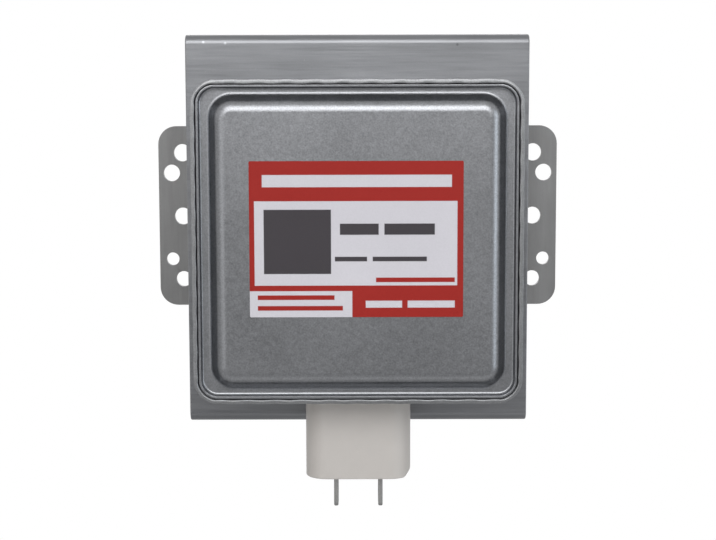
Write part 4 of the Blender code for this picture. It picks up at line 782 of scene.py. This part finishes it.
alumina = Finish("alumina", (0.78, 0.70, 0.64), 0.0, 0.5)
pores = alumina.noise(2400.0, 3.0)
firing = alumina.noise(180.0, 3.0)
alumina.set("Base Color", alumina.shaded(0.88 + 0.1 * pores + 0.12 * firing))
alumina.set("Roughness", 0.42 + 0.16 * pores)
alumina.bump(pores, 0.00002)
low, high = CERAMIC_ENDS
window = lathe("alumina_ring", [(CERAMIC_BORE, low), (CERAMIC_RADIUS, low),
                                (CERAMIC_RADIUS, high), (CERAMIC_BORE, high)])
soften(window, 0.0002, 3, TURNED_ANGLE)
fit(window, alumina, "output_ceramic")

cap_steel = Finish("drawn_stainless", (0.33, 0.328, 0.325), 1.0, 0.26)
draw_marks = cap_steel.noise(500.0, 3.0, 0.5, cap_steel.stretched((1.0, 0.12, 1.0)))
cap_steel.set("Base Color", cap_steel.shaded(0.86 + 0.24 * draw_marks))
cap_steel.set("Roughness", 0.16 + 0.2 * draw_marks)
cap_steel.bump(draw_marks, 0.00001)
low, high = CAP_ENDS
edge = [(CAP_RADIUS - CAP_EDGE * (1 - math.sin(math.radians(angle))),
         high - CAP_EDGE * (1 - math.cos(math.radians(angle)))) for angle in range(0, 91, 10)]
cap = lathe("drawn_cap", [(0.0, high)] + edge + [
    (CAP_RADIUS, low), (CAP_RADIUS - CAP_SHEET, low), (CAP_RADIUS - CAP_SHEET, high - CAP_EDGE),
    (CAP_RADIUS - CAP_INNER_EDGE[0], high - CAP_INNER_EDGE[1]),
    (CAP_RADIUS - CAP_EDGE, high - CAP_SHEET), (0.0, high - CAP_SHEET)])
soften(cap, 0.0001, 2, 30)
fit(cap, cap_steel, "antenna_cap")

knit = Finish("knitted_wire", (0.31, 0.3, 0.27), 1.0, 0.42)
gasket = lathe("gasket_ring", [(GASKET_RADIUS + GASKET_HALF[0] * math.cos(math.radians(angle)),
                                GASKET_PLACE + GASKET_HALF[1] * math.sin(math.radians(angle)))
                               for angle in range(0, 360, 15)])
flat = knit.stretched((1.0, 0.0, 1.0))
radius = knit.add("VectorMath", {"operation": "LENGTH"}, {0: flat}, "Value") - GASKET_RADIUS
depth = knit.axis("Y") - GASKET_PLACE
round_tube = WIRES_ROUND * knit.add("Math", {"operation": "ARCTAN2"}, {
    0: knit.axis("Z"), 1: knit.axis("X")})
round_section = WIRES_ACROSS * knit.add("Math", {"operation": "ARCTAN2"}, {0: depth, 1: radius})
wires = knit.add("Math", {"operation": "SINE"}, {0: round_tube + round_section})
crossing = knit.add("Math", {"operation": "SINE"}, {0: round_tube - round_section})
mesh_height = knit.add("Math", {"operation": "MAXIMUM"}, {0: wires, 1: crossing})
knit.set("Base Color", knit.shaded(0.55 + 0.45 * mesh_height))
knit.set("Roughness", 0.38 + 0.1 * knit.noise(1500.0))
knit.bump(mesh_height, 0.00012)
soften(gasket, 0.00002, 1, 60)
fit(gasket, knit, "gasket_mesh")


# Inside pieces
# What the case and the tube hide keeps its solid: chokes and stem in the box, cathode,
# vanes, straps and pole pieces in the tube. Each gets the finish of the real piece.
iron = rolled_steel("soft_iron", (0.17, 0.17, 0.173), 0.5, (1.0, 1.0, 1.0))
refractory = rolled_steel("drawn_molybdenum", (0.25, 0.248, 0.243), 0.4, (1.0, 8.0, 1.0))
enamel = Finish("enamelled_wire", (0.42, 0.15, 0.05), 0.0, 0.3)
enamel.set("Base Color", enamel.shaded(0.8 + 0.4 * enamel.noise(300.0)))
enamel.set("Roughness", 0.22 + 0.2 * enamel.noise(900.0))
INSIDE = {
    "ferrite_core_left": ferrite, "ferrite_core_right": ferrite, "choke_coil_left": enamel,
    "choke_coil_right": enamel, "capacitor_inner_case": case_plastic, "ceramic_capacitor": alumina,
    "stem_sleeve": nickel, "stem_ceramic": alumina, "stem_terminal_left": nickel,
    "stem_terminal_right": nickel, "cathode_lead_center": refractory,
    "cathode_lead_side": refractory, "filament": refractory, "end_hat_input": refractory,
    "end_hat_output": refractory, "pole_piece_input": iron, "pole_piece_output": iron,
    "antenna_lead": copper, "exhaust_tube": copper, "strap_inner_input": copper,
    "strap_inner_output": copper, "strap_outer_input": copper, "strap_outer_output": copper}
INSIDE.update({f"anode_vane_{number:02d}": copper for number in range(1, 11)})
for node, finish in INSIDE.items():
    dress(node, finish)


# Light, camera and background
# Soft lamps above and in front, at each side, low in front and behind, and an even surround
# that is white to the eye and in the metal. The pale floor lies 0.2 m below the part, out of
# the camera's view.
SURROUND = 0.3
FLOOR = -0.2
FLOOR_SIZE = 4.0
FLOOR_END = 0.35
FLOOR_COLOR = (0.8, 0.8, 0.8)
FLOOR_GLOW = 0.45
LAMP_AIM = (0.0, -0.04, 0.0)
CAMERA_LENS = 71.49
CAMERA_PLACE = (0.000064, -0.397665, 0.025641)
CAMERA_TURN = (math.pi / 2 - 0.102902, 0.0025, -0.0002)

scene = bpy.context.scene
scene.view_settings.view_transform = "Standard"

world = bpy.data.worlds.new("surround")
scene.world = world
world.use_nodes = True
nodes, links = world.node_tree.nodes, world.node_tree.links
nodes["Background"].inputs["Color"].default_value = (1, 1, 1, 1)
path = nodes.new("ShaderNodeLightPath")
strength = None
for ray in ("Is Camera Ray", "Is Glossy Ray", "Is Transmission Ray"):
    highest = nodes.new("ShaderNodeMath")
    highest.operation = "MAXIMUM"
    highest.inputs[1].default_value = SURROUND
    links.new(path.outputs[ray], highest.inputs[0])
    if strength:
        links.new(strength, highest.inputs[1])
    strength = highest.outputs[0]
links.new(strength, nodes["Background"].inputs["Strength"])

bpy.ops.object.select_all(action="DESELECT")
bpy.ops.mesh.primitive_plane_add(size=FLOOR_SIZE, location=(0, FLOOR_END - FLOOR_SIZE / 2, FLOOR))
floor = bpy.context.object
floor.name = floor.data.name = "floor"
floor_paint = Finish("pale_floor", FLOOR_COLOR, 0.0, 0.7)
seen = floor_paint.add("LightPath", {}, {}, "Is Camera Ray")
mirrored = floor_paint.add("LightPath", {}, {}, "Is Glossy Ray")
lifted = floor_paint.add("Math", {"operation": "MAXIMUM"}, {0: seen, 1: mirrored})
paint = Signal(floor_paint, floor_paint.shader.outputs[0])
glow = floor_paint.add("Emission", {}, {"Color": FLOOR_COLOR})
mixed = floor_paint.add("MixShader", {}, {0: FLOOR_GLOW * lifted, 1: paint, 2: glow})
floor_paint.feed(floor_paint.tree.nodes["Material Output"].inputs["Surface"], mixed)
floor.data.materials.append(floor_paint.material)


def hang_lamp(name, place, size, power, color=(1.0, 1.0, 1.0), spread=180):
    """A soft square lamp that faces the part."""
    lamp = bpy.data.lights.new(name, "AREA")
    lamp.shape = "RECTANGLE"
    lamp.size, lamp.size_y = size
    lamp.energy = power
    lamp.color = color
    lamp.spread = math.radians(spread)
    holder = bpy.data.objects.new(name, lamp)
    scene.collection.objects.link(holder)
    holder.location = place
    aim = Vector(LAMP_AIM) - Vector(place)
    holder.rotation_euler = aim.to_track_quat("-Z", "Y").to_euler()


hang_lamp("key_lamp", (0.0, -0.86, 0.44), (0.8, 0.5), 2.1, spread=100)
hang_lamp("right_lamp", (0.72, -0.58, 0.05), (0.3, 0.6), 1.7, (0.85, 0.93, 1.0))
hang_lamp("left_lamp", (-0.5, -0.75, 0.1), (0.4, 0.6), 0.8)
hang_lamp("low_lamp", (0.0, -0.2, -0.19), (0.5, 0.08), 0.06)
hang_lamp("back_lamp", (0.0, 0.8, 0.4), (0.8, 0.5), 2.2)

camera = bpy.data.cameras.new("camera")
camera.sensor_fit = "HORIZONTAL"
camera.sensor_width = 36.0
camera.lens = CAMERA_LENS
camera.clip_start = 0.01
viewer = bpy.data.objects.new("camera", camera)
scene.collection.objects.link(viewer)
viewer.location = CAMERA_PLACE
viewer.rotation_euler = CAMERA_TURN
scene.camera = viewer
